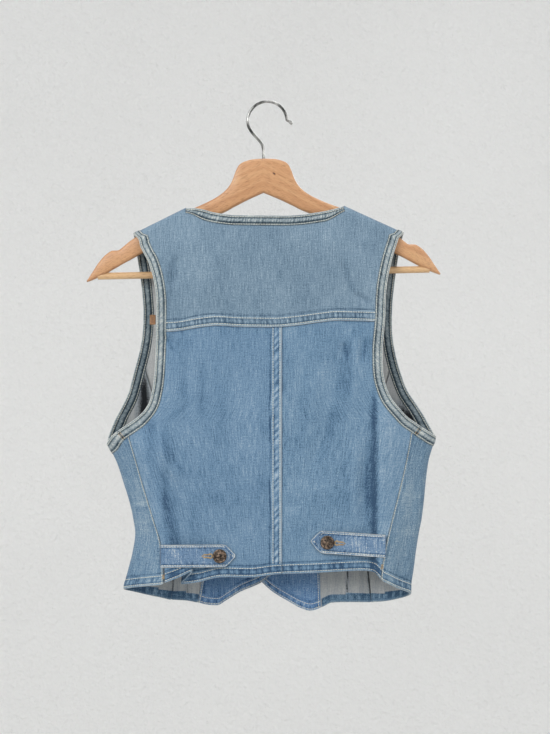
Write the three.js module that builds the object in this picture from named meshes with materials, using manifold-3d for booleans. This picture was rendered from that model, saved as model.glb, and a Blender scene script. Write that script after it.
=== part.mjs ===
// A cropped, sleeveless denim vest that hangs on a wooden coat hanger.
// Millimetres. The origin is where the hook bears on the peg or rail that it hangs from.
// +X points to the wearer's right, +Y to the front of the garment and +Z up, so the back faces -Y.
// Each panel is a thin wall on one flattened, hollow body form: a back skin and a front skin that
// join round the side folds and over the shoulder ridge, which lies on the hanger's arms.
import * as THREE from "three";
import { mergeVertices } from "three/addons/utils/BufferGeometryUtils.js";
import Module from "manifold-3d";

const wasm = await Module();
wasm.setup();

// Cloth and sewing
const CLOTH = 1.2; // wall of a single layer of denim
const HALF = CLOTH / 2;
const LAP_RISE = 1.2; // a felled seam stands this much proud of the panel
const LAP_WIDTH = 12;
const HEM_RISE = 1.2; // a turned hem is this much thicker, on its inner side
const STEP = 0.9; // ground that a change of thickness takes
const SEAM_GAP = 0.5;
const BAND_WIDTH = 10.5; // bindings of armholes and neck
const BAND_WALL = 1.2;
const BAND_GAP = 0.7;
const FACING_GAP = 0.45;
const BAND_EDGE = 2.1; // binding's outer edge beyond the cloth's edge
const WEB_GAP = 0.95; // binding's inner edge beyond it
const BACK = -1;
const FRONT = 1;
const LEFT = -1;
const RIGHT = 1;

// Body form
const FOLD_RADIUS = 9; // at the side folds and the shoulder ridge
const FOLD_ARC = (FOLD_RADIUS * Math.PI) / 2;
const BACK_SWELL = 14; // depth that the back skin gains beyond the fold radius
const FRONT_SWELL = 12.5;
const SIDE_REACH = 24; // distance from a side fold over which the skin fills out
const RIDGE_REACH = 45;
const OVERLAP_SHIFT = 1.9; // each front moves this much where they button over each other
const OVERLAP_INNER = 16;
const OVERLAP_OUTER = 44;
const CENTRE_FRONT = -1.5;
const CENTRE_BACK = 18.5; // free edge of the centre back seam's lap

// Hanger
const HANGER_X = -3;
const TILT = Math.tan(THREE.MathUtils.degToRad(1.2)); // hangs a little lower on the wearer's left
const SHOULDER_TOP = -80.5; // shoulder line, carried on to the middle of the hanger
const SHOULDER_SLOPE = 0.47;
const ARM_HALF = 5.5;
const ARM_ROUND = 4;
const BOW = 12; // arms' tips stand forward of the middle
const BOW_POWER = 1.6;
const ARM_REACH = 214;
const BAR_RADIUS = 4.2;
const BAR_Z = -204;
const BAR_HALF = 200.5;
const WIRE_RADIUS = 1.75;
const HOOK_RADIUS = 23.6;
const HOOK_X = 1.5;

const table = (columns, rows) =>
  rows.map((row) => Object.fromEntries(columns.map((name, i) => [name, row[i]])));

// Side folds: distance from the middle plane, for each half
const SIDE_FOLD = table(["z", "left", "right"], [
  [-605, 175, 174],
  [-581, 170.5, 174.5],
  [-560, 165, 177.5],
  [-540, 160, 180],
  [-518, 157, 183.5],
  [-500, 159.5, 187],
  [-480, 164, 189.5],
  [-459, 170.5, 191.5],
  [-432, 179, 195],
  [-415, 185.5, 198.8],
  [-398, 191.5, 203],
  [-380, 194.5, 205.5],
]);

// Armhole edges, from the shoulder ridge down to the underarm
const ARMHOLE_BACK = table(["zLeft", "xLeft", "zRight", "xRight"], [
  [-159.5, 160.5, -156, 166.5],
  [-172, 151.5, -167, 158.5],
  [-194, 140.5, -187, 152],
  [-225, 132.5, -220, 145],
  [-268, 131.5, -263, 142.5],
  [-310, 132.5, -303, 139.5],
  [-346, 136, -337, 142.5],
  [-362, 140.5, -354, 149],
  [-376, 151.5, -368, 160],
  [-386, 165, -379, 171],
  [-391, 172.7, -383.5, 177.7],
  [-396, 180, -388, 184],
]);
const ARMHOLE_FRONT = table(["zLeft", "xLeft", "zRight", "xRight"], [
  [-185, 156.5, -180, 161.5],
  [-218, 152, -212, 157],
  [-255, 149.5, -250, 153.5],
  [-288, 152, -285, 154.5],
  [-304, 155.3, -300, 157],
  [-320, 159.5, -315, 160.5],
  [-335, 163.3, -330, 165.3],
  [-350, 167.5, -345, 171],
  [-372, 175.5, -366, 184.5],
]);
const UNDERARM_LOW = { [LEFT]: -409, [RIGHT]: -400.5 };

// Side seams, which lie on the back, and the front princess seams
const SIDE_SEAM = table(["z", "left", "right"], [
  [-576, 122, 136],
  [-557, 122, 138],
  [-530, 125, 142.5],
  [-499, 134, 150],
  [-464, 145, 159],
  [-426, 156, 168],
  [-380, 170, 176],
]);
const PRINCESS_SEAM = table(["z", "left", "right"], [
  [-603, 115, 128],
  [-560, 112, 124],
  [-500, 112, 121],
  [-430, 119, 125],
  [-370, 133, 137],
  [-300, 154, 158],
]);

const NECK = table(["x", "z"], [
  [-97, -126.5],
  [-86, -127],
  [-75, -129],
  [-65, -132],
  [-51, -134.5],
  [-36, -136],
  [24, -136.5],
  [41, -135.5],
  [59, -133],
  [77, -129.5],
  [94, -124.5],
]);
const YOKE_SEAM = table(["x", "z"], [
  [-132, -276],
  [-106, -274.5],
  [-82, -270.5],
  [-58, -268],
  [-30, -269.5],
  [10, -270],
  [35, -268],
  [65, -264],
  [85, -262],
  [110, -262.5],
  [146, -263.5],
]);
const BACK_HEM = table(["x", "z"], [
  [-124, -575.5],
  [-100, -573.5],
  [-78, -572],
  [-51, -568],
  [-20, -568.5],
  [12, -565],
  [60, -563],
  [116, -560.5],
  [129, -562],
  [137, -570],
]);
const FRONT_HEM = table(["u", "xLeft", "zLeft", "xRight", "zRight"], [
  [0, -9, -568, -12, -573],
  [0.14, 8, -580.5, 8, -591],
  [0.3, 31, -590.5, 29, -603.5],
  [0.42, 48, -601, 43, -611],
  [0.5, 60, -607.5, 54, -614],
  [0.57, 71, -607, 66, -610.5],
  [0.65, 83, -604, 80, -604],
  [0.8, 98, -601, 100, -603],
  [1, 115, -600, 128, -603],
]);
const SIDE_HEM = {
  [LEFT]: table(["q", "z"], [
    [-60, -576],
    [-48, -577],
    [-20, -581],
    [0, -585],
    [24, -591],
    [56, -598.5],
    [62, -600],
  ]),
  [RIGHT]: table(["q", "z"], [
    [-50, -570],
    [-43, -572],
    [-20, -583],
    [0, -591],
    [16, -597],
    [34, -601],
    [52, -603],
  ]),
};
// Front edges: how far each front passes the middle plane towards the other side, then the V neck
const FRONT_EDGE = table(["z", "left", "right"], [
  [-574, -9, -12],
  [-306, -9, -12],
  [-290, 0, -3],
  [-250, 25, 22],
  [-200, 53, 50],
  [-160, 77, 74],
  [-126, 97, 94],
]);

// Largest folds: a crest (height above 0) or trough that runs from its top end to its low end
const FOLDS = table(["side", "xTop", "zTop", "xLow", "zLow", "widthLeft", "widthRight", "height"], [
  [BACK, 131, -325, 129, -660, 9, 28, 8],
  [BACK, -141, -370, -112, -660, 28, 20, 8],
  [BACK, -112, -425, -99, -590, 9, 9, -3],
  [BACK, 88, -270, 48, -480, 10, 12, -2.5],
  [FRONT, -78, -320, -70, -660, 17, 17, 3.5],
  [FRONT, 80, -320, 72, -660, 17, 17, 3.5],
  [FRONT, -136, -420, -142, -660, 12, 12, -3],
  [FRONT, 142, -420, 144, -660, 12, 12, -3],
]);
const FOLD_ENDS = 60;

// Pinched fold in the left back hem, below the waist tab: shift of the cloth along the hem
const HEM_PINCH = table(["x", "dx", "dy", "dz"], [
  [-124, 0, 0, 0],
  [-112, 5, 0, 5],
  [-101, 8, 0.5, 11.5],
  [-94, 1, 3.5, 4],
  [-88, -6, 6.5, -1],
  [-76, -3, 5, -2.5],
  [-58, 0, 1.5, -0.5],
  [-45, 0, 0, 0],
]);
const PINCH_HEIGHT = 26;

const TAB_LENGTH = 88;
const TAB_HALF_WIDTH = 13.2;
const TAB_POINT = 12;
const TABS = {
  [LEFT]: { root: -125, z: -543, slope: 0, button: -55 },
  [RIGHT]: { root: 142, z: -531, slope: -0.06, button: 73 },
};
const BUTTON_RADIUS = 8.4;
const SHANK_RADIUS = 2.6;
const EYE_RADIUS = 3.1;
const FRONT_BUTTON_TOP = -312;
const FRONT_BUTTON_PITCH = 78;
const FRONT_BUTTONS = 4;

const COLOURS = {
  denim: { color: 0x7390a6, roughness: 0.9, metalness: 0 },
  facing: { color: 0x5d7d9e, roughness: 0.9, metalness: 0 },
  binding: { color: 0x8d9ba3, roughness: 0.9, metalness: 0 },
  wood: { color: 0xc08a5a, roughness: 0.5, metalness: 0 },
  bar: { color: 0xd8b07c, roughness: 0.55, metalness: 0 },
  chrome: { color: 0xb8b8b4, roughness: 0.2, metalness: 1 },
  brass: { color: 0x6b5238, roughness: 0.4, metalness: 0.9 },
  leather: { color: 0x8a5a2e, roughness: 0.7, metalness: 0 },
};

const mix = (a, b, t) => a + (b - a) * t;
const clamp01 = (t) => Math.min(1, Math.max(0, t));
const ease = (t) => clamp01(t) ** 2 * (3 - 2 * clamp01(t));
const key = (half) => (half === LEFT ? "left" : "right");

// Value of a named column at a place between two rows, on a smooth curve without overshoot
function read(rows, column, at, name) {
  const last = rows.length - 1;
  if (at <= rows[0][column]) return rows[0][name];
  if (at >= rows[last][column]) return rows[last][name];
  let i = 0;
  while (at > rows[i + 1][column]) i += 1;
  const rise = (j) => (rows[j + 1][name] - rows[j][name]) / (rows[j + 1][column] - rows[j][column]);
  const slope = (j) => {
    if (j === 0) return rise(0);
    if (j === last) return rise(last - 1);
    const before = rise(j - 1);
    const after = rise(j);
    return before * after <= 0 ? 0 : (2 * before * after) / (before + after);
  };
  const width = rows[i + 1][column] - rows[i][column];
  const t = (at - rows[i][column]) / width;
  const curveIn = slope(i) * width * (t ** 3 - 2 * t * t + t);
  const curveOut = slope(i + 1) * width * (t ** 3 - t * t);
  return mix(rows[i][name], rows[i + 1][name], t * t * (3 - 2 * t)) + curveIn + curveOut;
}

// The body form
const sideFold = (half, z) => read(SIDE_FOLD, "z", z, key(half));
const bow = (x) => BOW * (Math.abs(x - HANGER_X) / ARM_REACH) ** BOW_POWER;
const ridge = (x) => SHOULDER_TOP - SHOULDER_SLOPE * Math.abs(x - HANGER_X) + TILT * (x - HANGER_X);
const roundness = (edge) =>
  edge <= 0 ? 0 : edge >= FOLD_RADIUS ? 1 : Math.sqrt(1 - (1 - edge / FOLD_RADIUS) ** 2);
const filling = (edge, reach) => 1 - Math.exp(-((Math.max(0, edge) / reach) ** 1.5));

function foldHeight(side, x, z) {
  let height = 0;
  for (const fold of FOLDS) {
    if (fold.side !== side) continue;
    const along = (fold.zTop - z) / (fold.zTop - fold.zLow);
    const across = x - mix(fold.xTop, fold.xLow, along);
    const width = across < 0 ? fold.widthLeft : fold.widthRight;
    const ends = ease((fold.zTop - z) / FOLD_ENDS) * ease((z - fold.zLow) / FOLD_ENDS);
    height += fold.height * ends * Math.exp(-((across / width) ** 2));
  }
  return height;
}

// Point of the back or front skin, seen from the back at x and z
function skin(side, x, z, overlap = 0) {
  const fromLeft = x + sideFold(LEFT, z);
  const fromRight = sideFold(RIGHT, z) - x;
  const fromSide = Math.min(fromLeft, fromRight);
  const fromRidge = ridge(x) - z;
  const softRidge = fromRidge - SHOULDER_SLOPE * (Math.hypot(x - HANGER_X, 40) - Math.abs(x - HANGER_X));
  const swell = (side === BACK ? BACK_SWELL : FRONT_SWELL) *
    filling(fromLeft, SIDE_REACH) * filling(fromRight, SIDE_REACH) * filling(softRidge, RIDGE_REACH);
  const rounded = FOLD_RADIUS * roundness(fromSide) * roundness(fromRidge);
  const seam = SEAM_GAP * 0.6 * roundness(fromSide / 2);
  const folds = foldHeight(side, x, z) * ease(fromSide / 30);
  const middle = bow(x) * ease((z + 420) / 220);
  const outOfOverlap = (Math.abs(x - CENTRE_FRONT) - OVERLAP_INNER) / (OVERLAP_OUTER - OVERLAP_INNER);
  const shift = overlap * (1 - ease(outOfOverlap));
  return new THREE.Vector3(x, middle + side * (rounded + swell + seam + folds) + shift, z);
}

// Distance along the cloth from the side fold, and back to the distance in x
const arcOf = (edge) =>
  edge < FOLD_RADIUS
    ? FOLD_RADIUS * Math.acos(1 - Math.max(0, edge) / FOLD_RADIUS)
    : edge - FOLD_RADIUS + FOLD_ARC;
const edgeOf = (arc) =>
  arc < FOLD_ARC ? FOLD_RADIUS * (1 - Math.cos(arc / FOLD_RADIUS)) : arc - FOLD_ARC + FOLD_RADIUS;

// Point of the cloth round a side fold: q below 0 on the back, above 0 on the front
function wrap(half, q, z) {
  const x = half * (sideFold(half, z) - edgeOf(Math.abs(q)));
  return skin(q < 0 ? BACK : FRONT, x, z);
}

// Armhole edge of each half as nodes in q and z, from the ridge down the back and up the front
const FOLD_STEPS = [-4, -2.6, -1.4, -0.5, 0, 0.5, 1.4, 2.6, 4].map((step) => (step * FOLD_ARC) / 4);
const fallBelowRidge = (degrees) => FOLD_RADIUS * (1 - Math.cos(THREE.MathUtils.degToRad(degrees)));
const RIDGE_DROPS = [30, 60, 90].map(fallBelowRidge);

function armholeNodes(half) {
  const zName = half === LEFT ? "zLeft" : "zRight";
  const xName = half === LEFT ? "xLeft" : "xRight";
  const node = (side, row) => ({ q: side * arcOf(sideFold(half, row[zName]) - row[xName]), z: row[zName] });
  const top = ARMHOLE_BACK[0];
  const nearTop = (side) => {
    const next = side === BACK ? ARMHOLE_BACK[1] : ARMHOLE_FRONT[0];
    return RIDGE_DROPS.map((drop) => {
      const share = drop / (top[zName] - next[zName]);
      const x = mix(top[xName], next[xName], share);
      return { q: side * arcOf(sideFold(half, top[zName] - drop) - x), z: ridge(half * x) - drop };
    });
  };
  const start = { q: -arcOf(sideFold(half, top[zName]) - top[xName]), z: ridge(half * top[xName]) };
  const back = ARMHOLE_BACK.slice(1).map((row) => node(BACK, row));
  const front = ARMHOLE_FRONT.map((row) => node(FRONT, row));
  const low = [
    back[back.length - 1],
    { q: 0, z: UNDERARM_LOW[half] },
    front[front.length - 1],
  ];
  const underarm = FOLD_STEPS.map((q) => ({ q, z: read(low, "q", q, "z") }));
  return [
    start,
    ...nearTop(BACK),
    ...back,
    ...underarm,
    ...front.reverse(),
    ...nearTop(FRONT).reverse(),
    { q: -start.q, z: start.z },
  ];
}

// The same nodes moved into the cloth by a distance
function armholeInside(half, distance) {
  const nodes = armholeNodes(half);
  const last = nodes.length - 1;
  return nodes.map((node, i) => {
    const before = nodes[Math.max(0, i - 1)];
    const after = nodes[Math.min(last, i + 1)];
    const length = Math.hypot(after.q - before.q, after.z - before.z);
    const q = node.q + (distance * (after.z - before.z)) / length;
    const z = node.z - (distance * (after.q - before.q)) / length;
    const x = half * (sideFold(half, z) - edgeOf(Math.abs(q)));
    const drop = Math.max(0, ridge(wrap(half, node.q, node.z).x) - node.z);
    return { q, z: Math.min(z, ridge(x) - drop), side: q < 0 ? BACK : FRONT, x: Math.abs(x) };
  });
}

const clothEdge = { [LEFT]: armholeInside(LEFT, BAND_EDGE), [RIGHT]: armholeInside(RIGHT, BAND_EDGE) };
const edgeRows = (half, side) => {
  const rows = clothEdge[half].filter((node) => node.side === side && Math.abs(node.q) > 1);
  return side === BACK ? rows.reverse() : rows;
};
const armholeX = (half, side, z) => read(edgeRows(half, side), "z", z, "x");
const underarmRows = (half) => clothEdge[half].filter((node) => Math.abs(node.q) < 62 && node.z < -280);
const armholeZ = (half, q) => read(underarmRows(half), "q", q, "z");

// Height at which a seam runs out into the armhole
function seamEnd(half, side, seam) {
  let z = seam[seam.length - 1].z;
  for (let step = 0; step < 60; step += 1) {
    z = mix(z, armholeZ(half, side * arcOf(sideFold(half, z) - read(seam, "z", z, key(half)))), 0.4);
  }
  return z;
}

// Solids
// Closed body from points and triangles, with its faces pointing out
function solid(points, faces) {
  let volume = 0;
  for (const [a, b, c] of faces) volume += points[a].dot(points[b].clone().cross(points[c]));
  const turned = volume < 0 ? faces.map(([a, b, c]) => [a, c, b]) : faces;
  const geometry = new THREE.BufferGeometry().setFromPoints(points);
  geometry.setIndex(turned.flat());
  return geometry;
}

// Closed body through rings of points; the first half of a ring lies opposite the second, end to end
function loft(rings) {
  const count = rings[0].length;
  const points = rings.flat();
  const end = points.length - count;
  const faces = [];
  for (let i = 0; i + 1 < rings.length; i += 1) {
    for (let j = 0; j < count; j += 1) {
      const a = i * count + j;
      const b = i * count + ((j + 1) % count);
      faces.push([a, b, b + count], [a, b + count, a + count]);
    }
  }
  for (let j = 0; j + 1 < count / 2; j += 1) {
    const [a, b, c, d] = [j, j + 1, count - 2 - j, count - 1 - j];
    faces.push([a, c, b], [a, d, c]);
    faces.push([end + a, end + b, end + c], [end + a, end + c, end + d]);
  }
  return solid(points, faces);
}

function normalAt(surface, u, v, outward) {
  const small = 1e-3;
  const du = surface(Math.min(1, u + small), v).sub(surface(Math.max(0, u - small), v));
  const dv = surface(u, Math.min(1, v + small)).sub(surface(u, Math.max(0, v - small)));
  return du.cross(dv).normalize().multiplyScalar(outward);
}

// Wall of cloth on a surface: outer and inner say how far each face lies from the mid surface
function wall(surface, us, vs, outward, outer = () => HALF, inner = () => HALF) {
  const node = (u, v) => ({ u, v, at: surface(u, v), out: normalAt(surface, u, v, outward) });
  const grid = us.flatMap((u) => vs.map((v) => node(u, v)));
  const points = [
    ...grid.map((g) => g.at.clone().addScaledVector(g.out, outer(g.u, g.v))),
    ...grid.map((g) => g.at.clone().addScaledVector(g.out, -inner(g.u, g.v))),
  ];
  const rows = vs.length;
  const below = grid.length;
  const faces = [];
  const quad = (a, b, c, d) => faces.push([a, b, c], [a, c, d]);
  for (let i = 0; i + 1 < us.length; i += 1) {
    for (let j = 0; j + 1 < rows; j += 1) {
      const a = i * rows + j;
      const [b, c, d] = [a + rows, a + rows + 1, a + 1];
      const apart = (p, q) => grid[p].at.distanceTo(grid[q].at);
      // Each quad is split on its short diagonal
      const [p, q, r, s] = apart(a, c) < apart(b, d) ? [a, b, c, d] : [b, c, d, a];
      quad(p, q, r, s);
      quad(below + p, below + s, below + r, below + q);
    }
  }
  const rim = [
    ...us.map((_, i) => i * rows),
    ...vs.slice(1).map((_, j) => (us.length - 1) * rows + j + 1),
    ...us.slice(1).map((_, i) => (us.length - 2 - i) * rows + rows - 1),
    ...vs.slice(1, -1).map((_, j) => rows - 2 - j),
  ];
  rim.forEach((a, k) => {
    const b = rim[(k + 1) % rim.length];
    quad(a, below + a, below + b, b);
  });
  return solid(points, faces);
}

// Folded strip round an edge: a leg on each face of the cloth and a web beyond its edge. Each station
// lists places from the leg's inner end to the cloth's edge, with the way that the cloth faces there.
function binding(stations) {
  const near = HALF + BAND_GAP;
  const far = near + BAND_WALL;
  return loft(stations.map((places) => {
    const [before, edge] = places.slice(-2);
    const away = edge.at.clone().sub(before.at).normalize();
    const chain = (height, beyond) => places.map((place) => {
      const point = place.at.clone().addScaledVector(place.out, height);
      return place === edge ? point.addScaledVector(away, beyond) : point;
    });
    return [
      ...chain(far, BAND_EDGE),
      ...chain(-far, BAND_EDGE).reverse(),
      ...chain(-near, WEB_GAP),
      ...chain(near, WEB_GAP).reverse(),
    ];
  }));
}

// Manifold-3d solid of a geometry, and back
function toManifold(geometry) {
  const bare = geometry.clone();
  bare.deleteAttribute("normal");
  bare.deleteAttribute("uv");
  const merged = mergeVertices(bare, 1e-4);
  return new wasm.Manifold(new wasm.Mesh({
    numProp: 3,
    vertProperties: merged.attributes.position.array,
    triVerts: new Uint32Array(merged.index.array),
  }));
}

function subtract(geometry, ...tools) {
  let body = toManifold(geometry);
  for (const tool of tools) body = body.subtract(toManifold(tool));
  const mesh = body.getMesh();
  const cut = new THREE.BufferGeometry();
  cut.setAttribute("position", new THREE.BufferAttribute(new Float32Array(mesh.vertProperties), 3));
  cut.setIndex(new THREE.BufferAttribute(new Uint32Array(mesh.triVerts), 1));
  return cut;
}

// Round tool along Y through a cloth layer
const eye = (x, z) => new THREE.CylinderGeometry(EYE_RADIUS, EYE_RADIUS, 90, 12).translate(x, 0, z);

// Yoke
const NECK_LEFT = NECK[0].x;
const NECK_RIGHT = NECK[NECK.length - 1].x;
const BACK_COLUMNS = [0, 0.08, 0.15, 0.22, 0.3, 0.39, 0.49, 0.6, 0.7, 0.8, 0.913, 0.92, 1];
const SIDE_COLUMNS = [0, 0.1, 0.18, 0.27, 0.38, 0.5, 0.63, 0.76, 0.88, 1];
const NECK_COLUMN = { [LEFT]: 0.3, [RIGHT]: 0.5 }; // columns that run up to the neck points
const NECK_EXTRA = [0.03, 0.06, 0.095]; // further columns beside them, where the neck leaves the ridge
const LAP_SHARE = LAP_WIDTH / 112;
const yokeSeam = (x) => read(YOKE_SEAM, "x", x, "z");
const yokeEnd = (half) => half * armholeX(half, BACK, yokeSeam(half * 136));
const YOKE_SPAN = yokeEnd(RIGHT) - yokeEnd(LEFT);
const leftShare = (u) => (u * (CENTRE_BACK - yokeEnd(LEFT))) / YOKE_SPAN;
const rightShare = (u) => 1 - (u * (yokeEnd(RIGHT) - CENTRE_BACK)) / YOKE_SPAN;
const besideNeck = (half) => NECK_EXTRA.map((u) => NECK_COLUMN[half] + u);
const leftColumns = [...BACK_COLUMNS, ...besideNeck(LEFT)].filter((u) => u !== 0.39);
const rightColumns = [...SIDE_COLUMNS, ...besideNeck(RIGHT)].filter((u) => u < 1);
const YOKE_SHARES = [...leftColumns.map(leftShare), ...rightColumns.map(rightShare)].sort((a, b) => a - b);
const NECK_SHARE = { [LEFT]: leftShare(NECK_COLUMN[LEFT]), [RIGHT]: rightShare(NECK_COLUMN[RIGHT]) };

// Rows of a panel's armhole edge, as shares of its height above a level
function armholeShares(half, side, low) {
  const heights = edgeRows(half, side).map((node) => node.z).filter((z) => z > low + 6);
  const top = heights[heights.length - 1];
  return heights.map((z) => (z - low) / (top - low));
}

const yokeShares = {
  [LEFT]: armholeShares(LEFT, BACK, yokeSeam(-136)),
  [RIGHT]: armholeShares(RIGHT, BACK, yokeSeam(136)),
};
const YOKE_ROWS = table(["v", "left", "right"], [
  ...[0, LAP_SHARE, LAP_SHARE + STEP / 112].map((share) => [share, share, share]),
  ...[7, 6, 5, 4, 3, 2, 1].map((fromTop) => {
    const [left, right] = [LEFT, RIGHT].map((half) => yokeShares[half][yokeShares[half].length - fromTop]);
    return [(left + right) / 2, left, right];
  }),
]);

function yokeSurface(u, v) {
  const shoulderLeft = -clothEdge[LEFT][0].x;
  const shoulderRight = clothEdge[RIGHT][0].x;
  const onNeck = u > NECK_SHARE[LEFT] && u < NECK_SHARE[RIGHT];
  const acrossNeck = (u - NECK_SHARE[LEFT]) / (NECK_SHARE[RIGHT] - NECK_SHARE[LEFT]);
  const leftTop = mix(shoulderLeft, NECK_LEFT, u / NECK_SHARE[LEFT]);
  const rightTop = mix(shoulderRight, NECK_RIGHT, (1 - u) / (1 - NECK_SHARE[RIGHT]));
  const shoulderTop = u < 0.5 ? leftTop : rightTop;
  const topX = onNeck ? mix(NECK_LEFT, NECK_RIGHT, acrossNeck) : shoulderTop;
  const topZ = onNeck ? Math.min(ridge(topX), read(NECK, "x", topX, "z") - BAND_EDGE) : ridge(topX);
  const lowX = mix(yokeEnd(LEFT), yokeEnd(RIGHT), u);
  const share = mix(read(YOKE_ROWS, "v", v, "left"), read(YOKE_ROWS, "v", v, "right"), u);
  const z = mix(yokeSeam(lowX), topZ, share);
  const towardsEdge = (half) =>
    half * armholeX(half, BACK, z) - mix(yokeEnd(half), half === LEFT ? shoulderLeft : shoulderRight, share);
  const x = mix(lowX, topX, share) + (1 - u) ** 3 * towardsEdge(LEFT) + u ** 3 * towardsEdge(RIGHT);
  return skin(BACK, x, Math.min(z, ridge(x)));
}

function yoke() {
  const clear = (BAND_WIDTH + 4) / YOKE_SPAN;
  const onLap = (u, v) => v < LAP_SHARE + 0.001 && u > clear && u < 1 - clear;
  const rows = YOKE_ROWS.map((row) => row.v);
  return wall(yokeSurface, YOKE_SHARES, rows, 1, (u, v) => HALF + (onLap(u, v) ? LAP_RISE : 0));
}

// Rows up the side seam and the princess seam, which a side panel shares with its neighbours
const SEAM_ROWS = table(["princess", "side"], [
  [0, 0],
  [0.036, 0.058],
  [0.04, 0.064],
  [0.11, 0.16],
  [0.22, 0.3],
  [0.36, 0.46],
  [0.5, 0.61],
  [0.64, 0.75],
  [0.79, 0.87],
  [0.93, 0.94],
  [0.965, 0.97],
  [1, 1],
]);
const HEM_ROW = 1; // last row on the turned hem

// Lower back, from the side seam and armhole to the centre back seam
function backFrame(half) {
  const low = read(BACK_HEM, "x", half * 137, "z");
  const corner = seamEnd(half, BACK, SIDE_SEAM);
  const top = yokeSeam(yokeEnd(half)) - SEAM_GAP;
  const seamX = (z) => read(SIDE_SEAM, "z", z, key(half)) - SEAM_GAP / 2;
  const outerX = (z) => half * (z < corner ? seamX(z) : Math.min(armholeX(half, BACK, z), seamX(corner)));
  return { low, corner, top, outerX, inner: CENTRE_BACK + (half === LEFT ? 0 : SEAM_GAP) };
}

function pinched(point, hemX, aboveHem) {
  const fade = Math.exp(-((aboveHem / PINCH_HEIGHT) ** 2));
  const shift = ["dx", "dy", "dz"].map((name) => fade * read(HEM_PINCH, "x", hemX, name));
  return point.add(new THREE.Vector3(...shift));
}

function backPanel(half) {
  const { low, corner, top, outerX, inner } = backFrame(half);
  const surface = (u, v) => {
    const x = mix(outerX(mix(low, top, v)), inner, u);
    const hemX = mix(outerX(low), inner, u);
    const topX = mix(outerX(top), inner, u);
    const hemZ = u === 0 ? low : read(BACK_HEM, "x", hemX, "z");
    const z = mix(hemZ, yokeSeam(topX) - SEAM_GAP, v);
    const point = skin(BACK, x, z);
    return half === LEFT ? pinched(point, hemX, z - hemZ) : point;
  };
  const besideArmhole = (z) => z > corner + 2 && z < top - 3;
  const armholeHeights = edgeRows(half, BACK).map((node) => node.z).filter(besideArmhole);
  const rows = [
    ...SEAM_ROWS.map((row) => (mix(low, corner, row.side) - low) / (top - low)),
    ...armholeHeights.map((z) => (z - low) / (top - low)),
    1,
  ];
  const lapped = (u, v) => half === LEFT && u > 0.915 && v > rows[HEM_ROW];
  return wall(surface, half === LEFT ? BACK_COLUMNS : SIDE_COLUMNS, rows, half === LEFT ? 1 : -1,
    (u, v) => HALF + (lapped(u, v) ? LAP_RISE : 0),
    (u, v) => HALF + (v < rows[HEM_ROW] + 0.001 ? HEM_RISE : 0));
}

// Side panel, from the side seam on the back round the fold to the princess seam
const SIDE_START = 0.4; // shares of the panel's width between which it turns round the fold
const SIDE_END = 0.6;

function sidePanel(half) {
  const seam = (z) => -arcOf(sideFold(half, z) - read(SIDE_SEAM, "z", z, key(half))) + SEAM_GAP / 2;
  const princess = (z) => arcOf(sideFold(half, z) - read(PRINCESS_SEAM, "z", z, key(half))) - SEAM_GAP / 2;
  const { low: backLow, corner: backTop } = backFrame(half);
  const frontLow = FRONT_HEM[FRONT_HEM.length - 1][half === LEFT ? "zLeft" : "zRight"];
  const frontTop = seamEnd(half, FRONT, PRINCESS_SEAM);
  const seamShare = (v) => read(SEAM_ROWS, "princess", v, "side");
  const qAt = (u, v) => {
    if (u < SIDE_START) return mix(seam(mix(backLow, backTop, seamShare(v))), -FOLD_ARC, u / SIDE_START);
    if (u < SIDE_END) return mix(-FOLD_ARC, FOLD_ARC, (u - SIDE_START) / (SIDE_END - SIDE_START));
    return mix(FOLD_ARC, princess(mix(frontLow, frontTop, v)), (u - SIDE_END) / (1 - SIDE_END));
  };
  const zAt = (u, v) => {
    const ends = (inside, back, forward) => (u < 1e-6 ? back : u > 1 - 1e-6 ? forward : inside);
    const low = ends(read(SIDE_HEM[half], "q", qAt(u, 0), "z"), backLow, frontLow);
    const top = ends(armholeZ(half, qAt(u, 1)), backTop, frontTop);
    return mix(low, top, mix(seamShare(v), v, ease((u - 0.15) * 1.6)));
  };
  const surface = (u, v) => wrap(half, qAt(u, v), zAt(u, v));
  const us = [0, 0.14, 0.28, ...FOLD_STEPS.map((q) => mix(0.5, SIDE_END, q / FOLD_ARC)), 0.7, 0.8, 0.9, 1];
  const rows = SEAM_ROWS.map((row) => row.princess);
  return wall(surface, us, rows, half === LEFT ? -1 : 1, () => HALF,
    (u, v) => HALF + (v < rows[HEM_ROW] + 0.001 ? HEM_RISE : 0));
}

// Front, from the front edge and V neck to the princess seam and armhole
const FRONT_COLUMNS = [0, 0.14, 0.3, 0.42, 0.5, 0.57, 0.65, 0.75, 0.84, 0.92, 1];

function frontFrame(half) {
  return {
    low: FRONT_HEM[FRONT_HEM.length - 1][half === LEFT ? "zLeft" : "zRight"],
    corner: seamEnd(half, FRONT, PRINCESS_SEAM),
    top: clothEdge[half][clothEdge[half].length - 1].z,
    edgeLow: FRONT_HEM[0][half === LEFT ? "zLeft" : "zRight"],
    neckX: half === LEFT ? NECK_LEFT : NECK_RIGHT,
  };
}

function frontRows(half) {
  const { low, corner, top } = frontFrame(half);
  const heights = edgeRows(half, FRONT).map((node) => node.z).filter((z) => z > corner + 6);
  return [
    ...SEAM_ROWS.map((row) => (mix(low, corner, row.princess) - low) / (top - low)),
    ...heights.map((z) => (z - low) / (top - low)),
  ];
}

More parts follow.
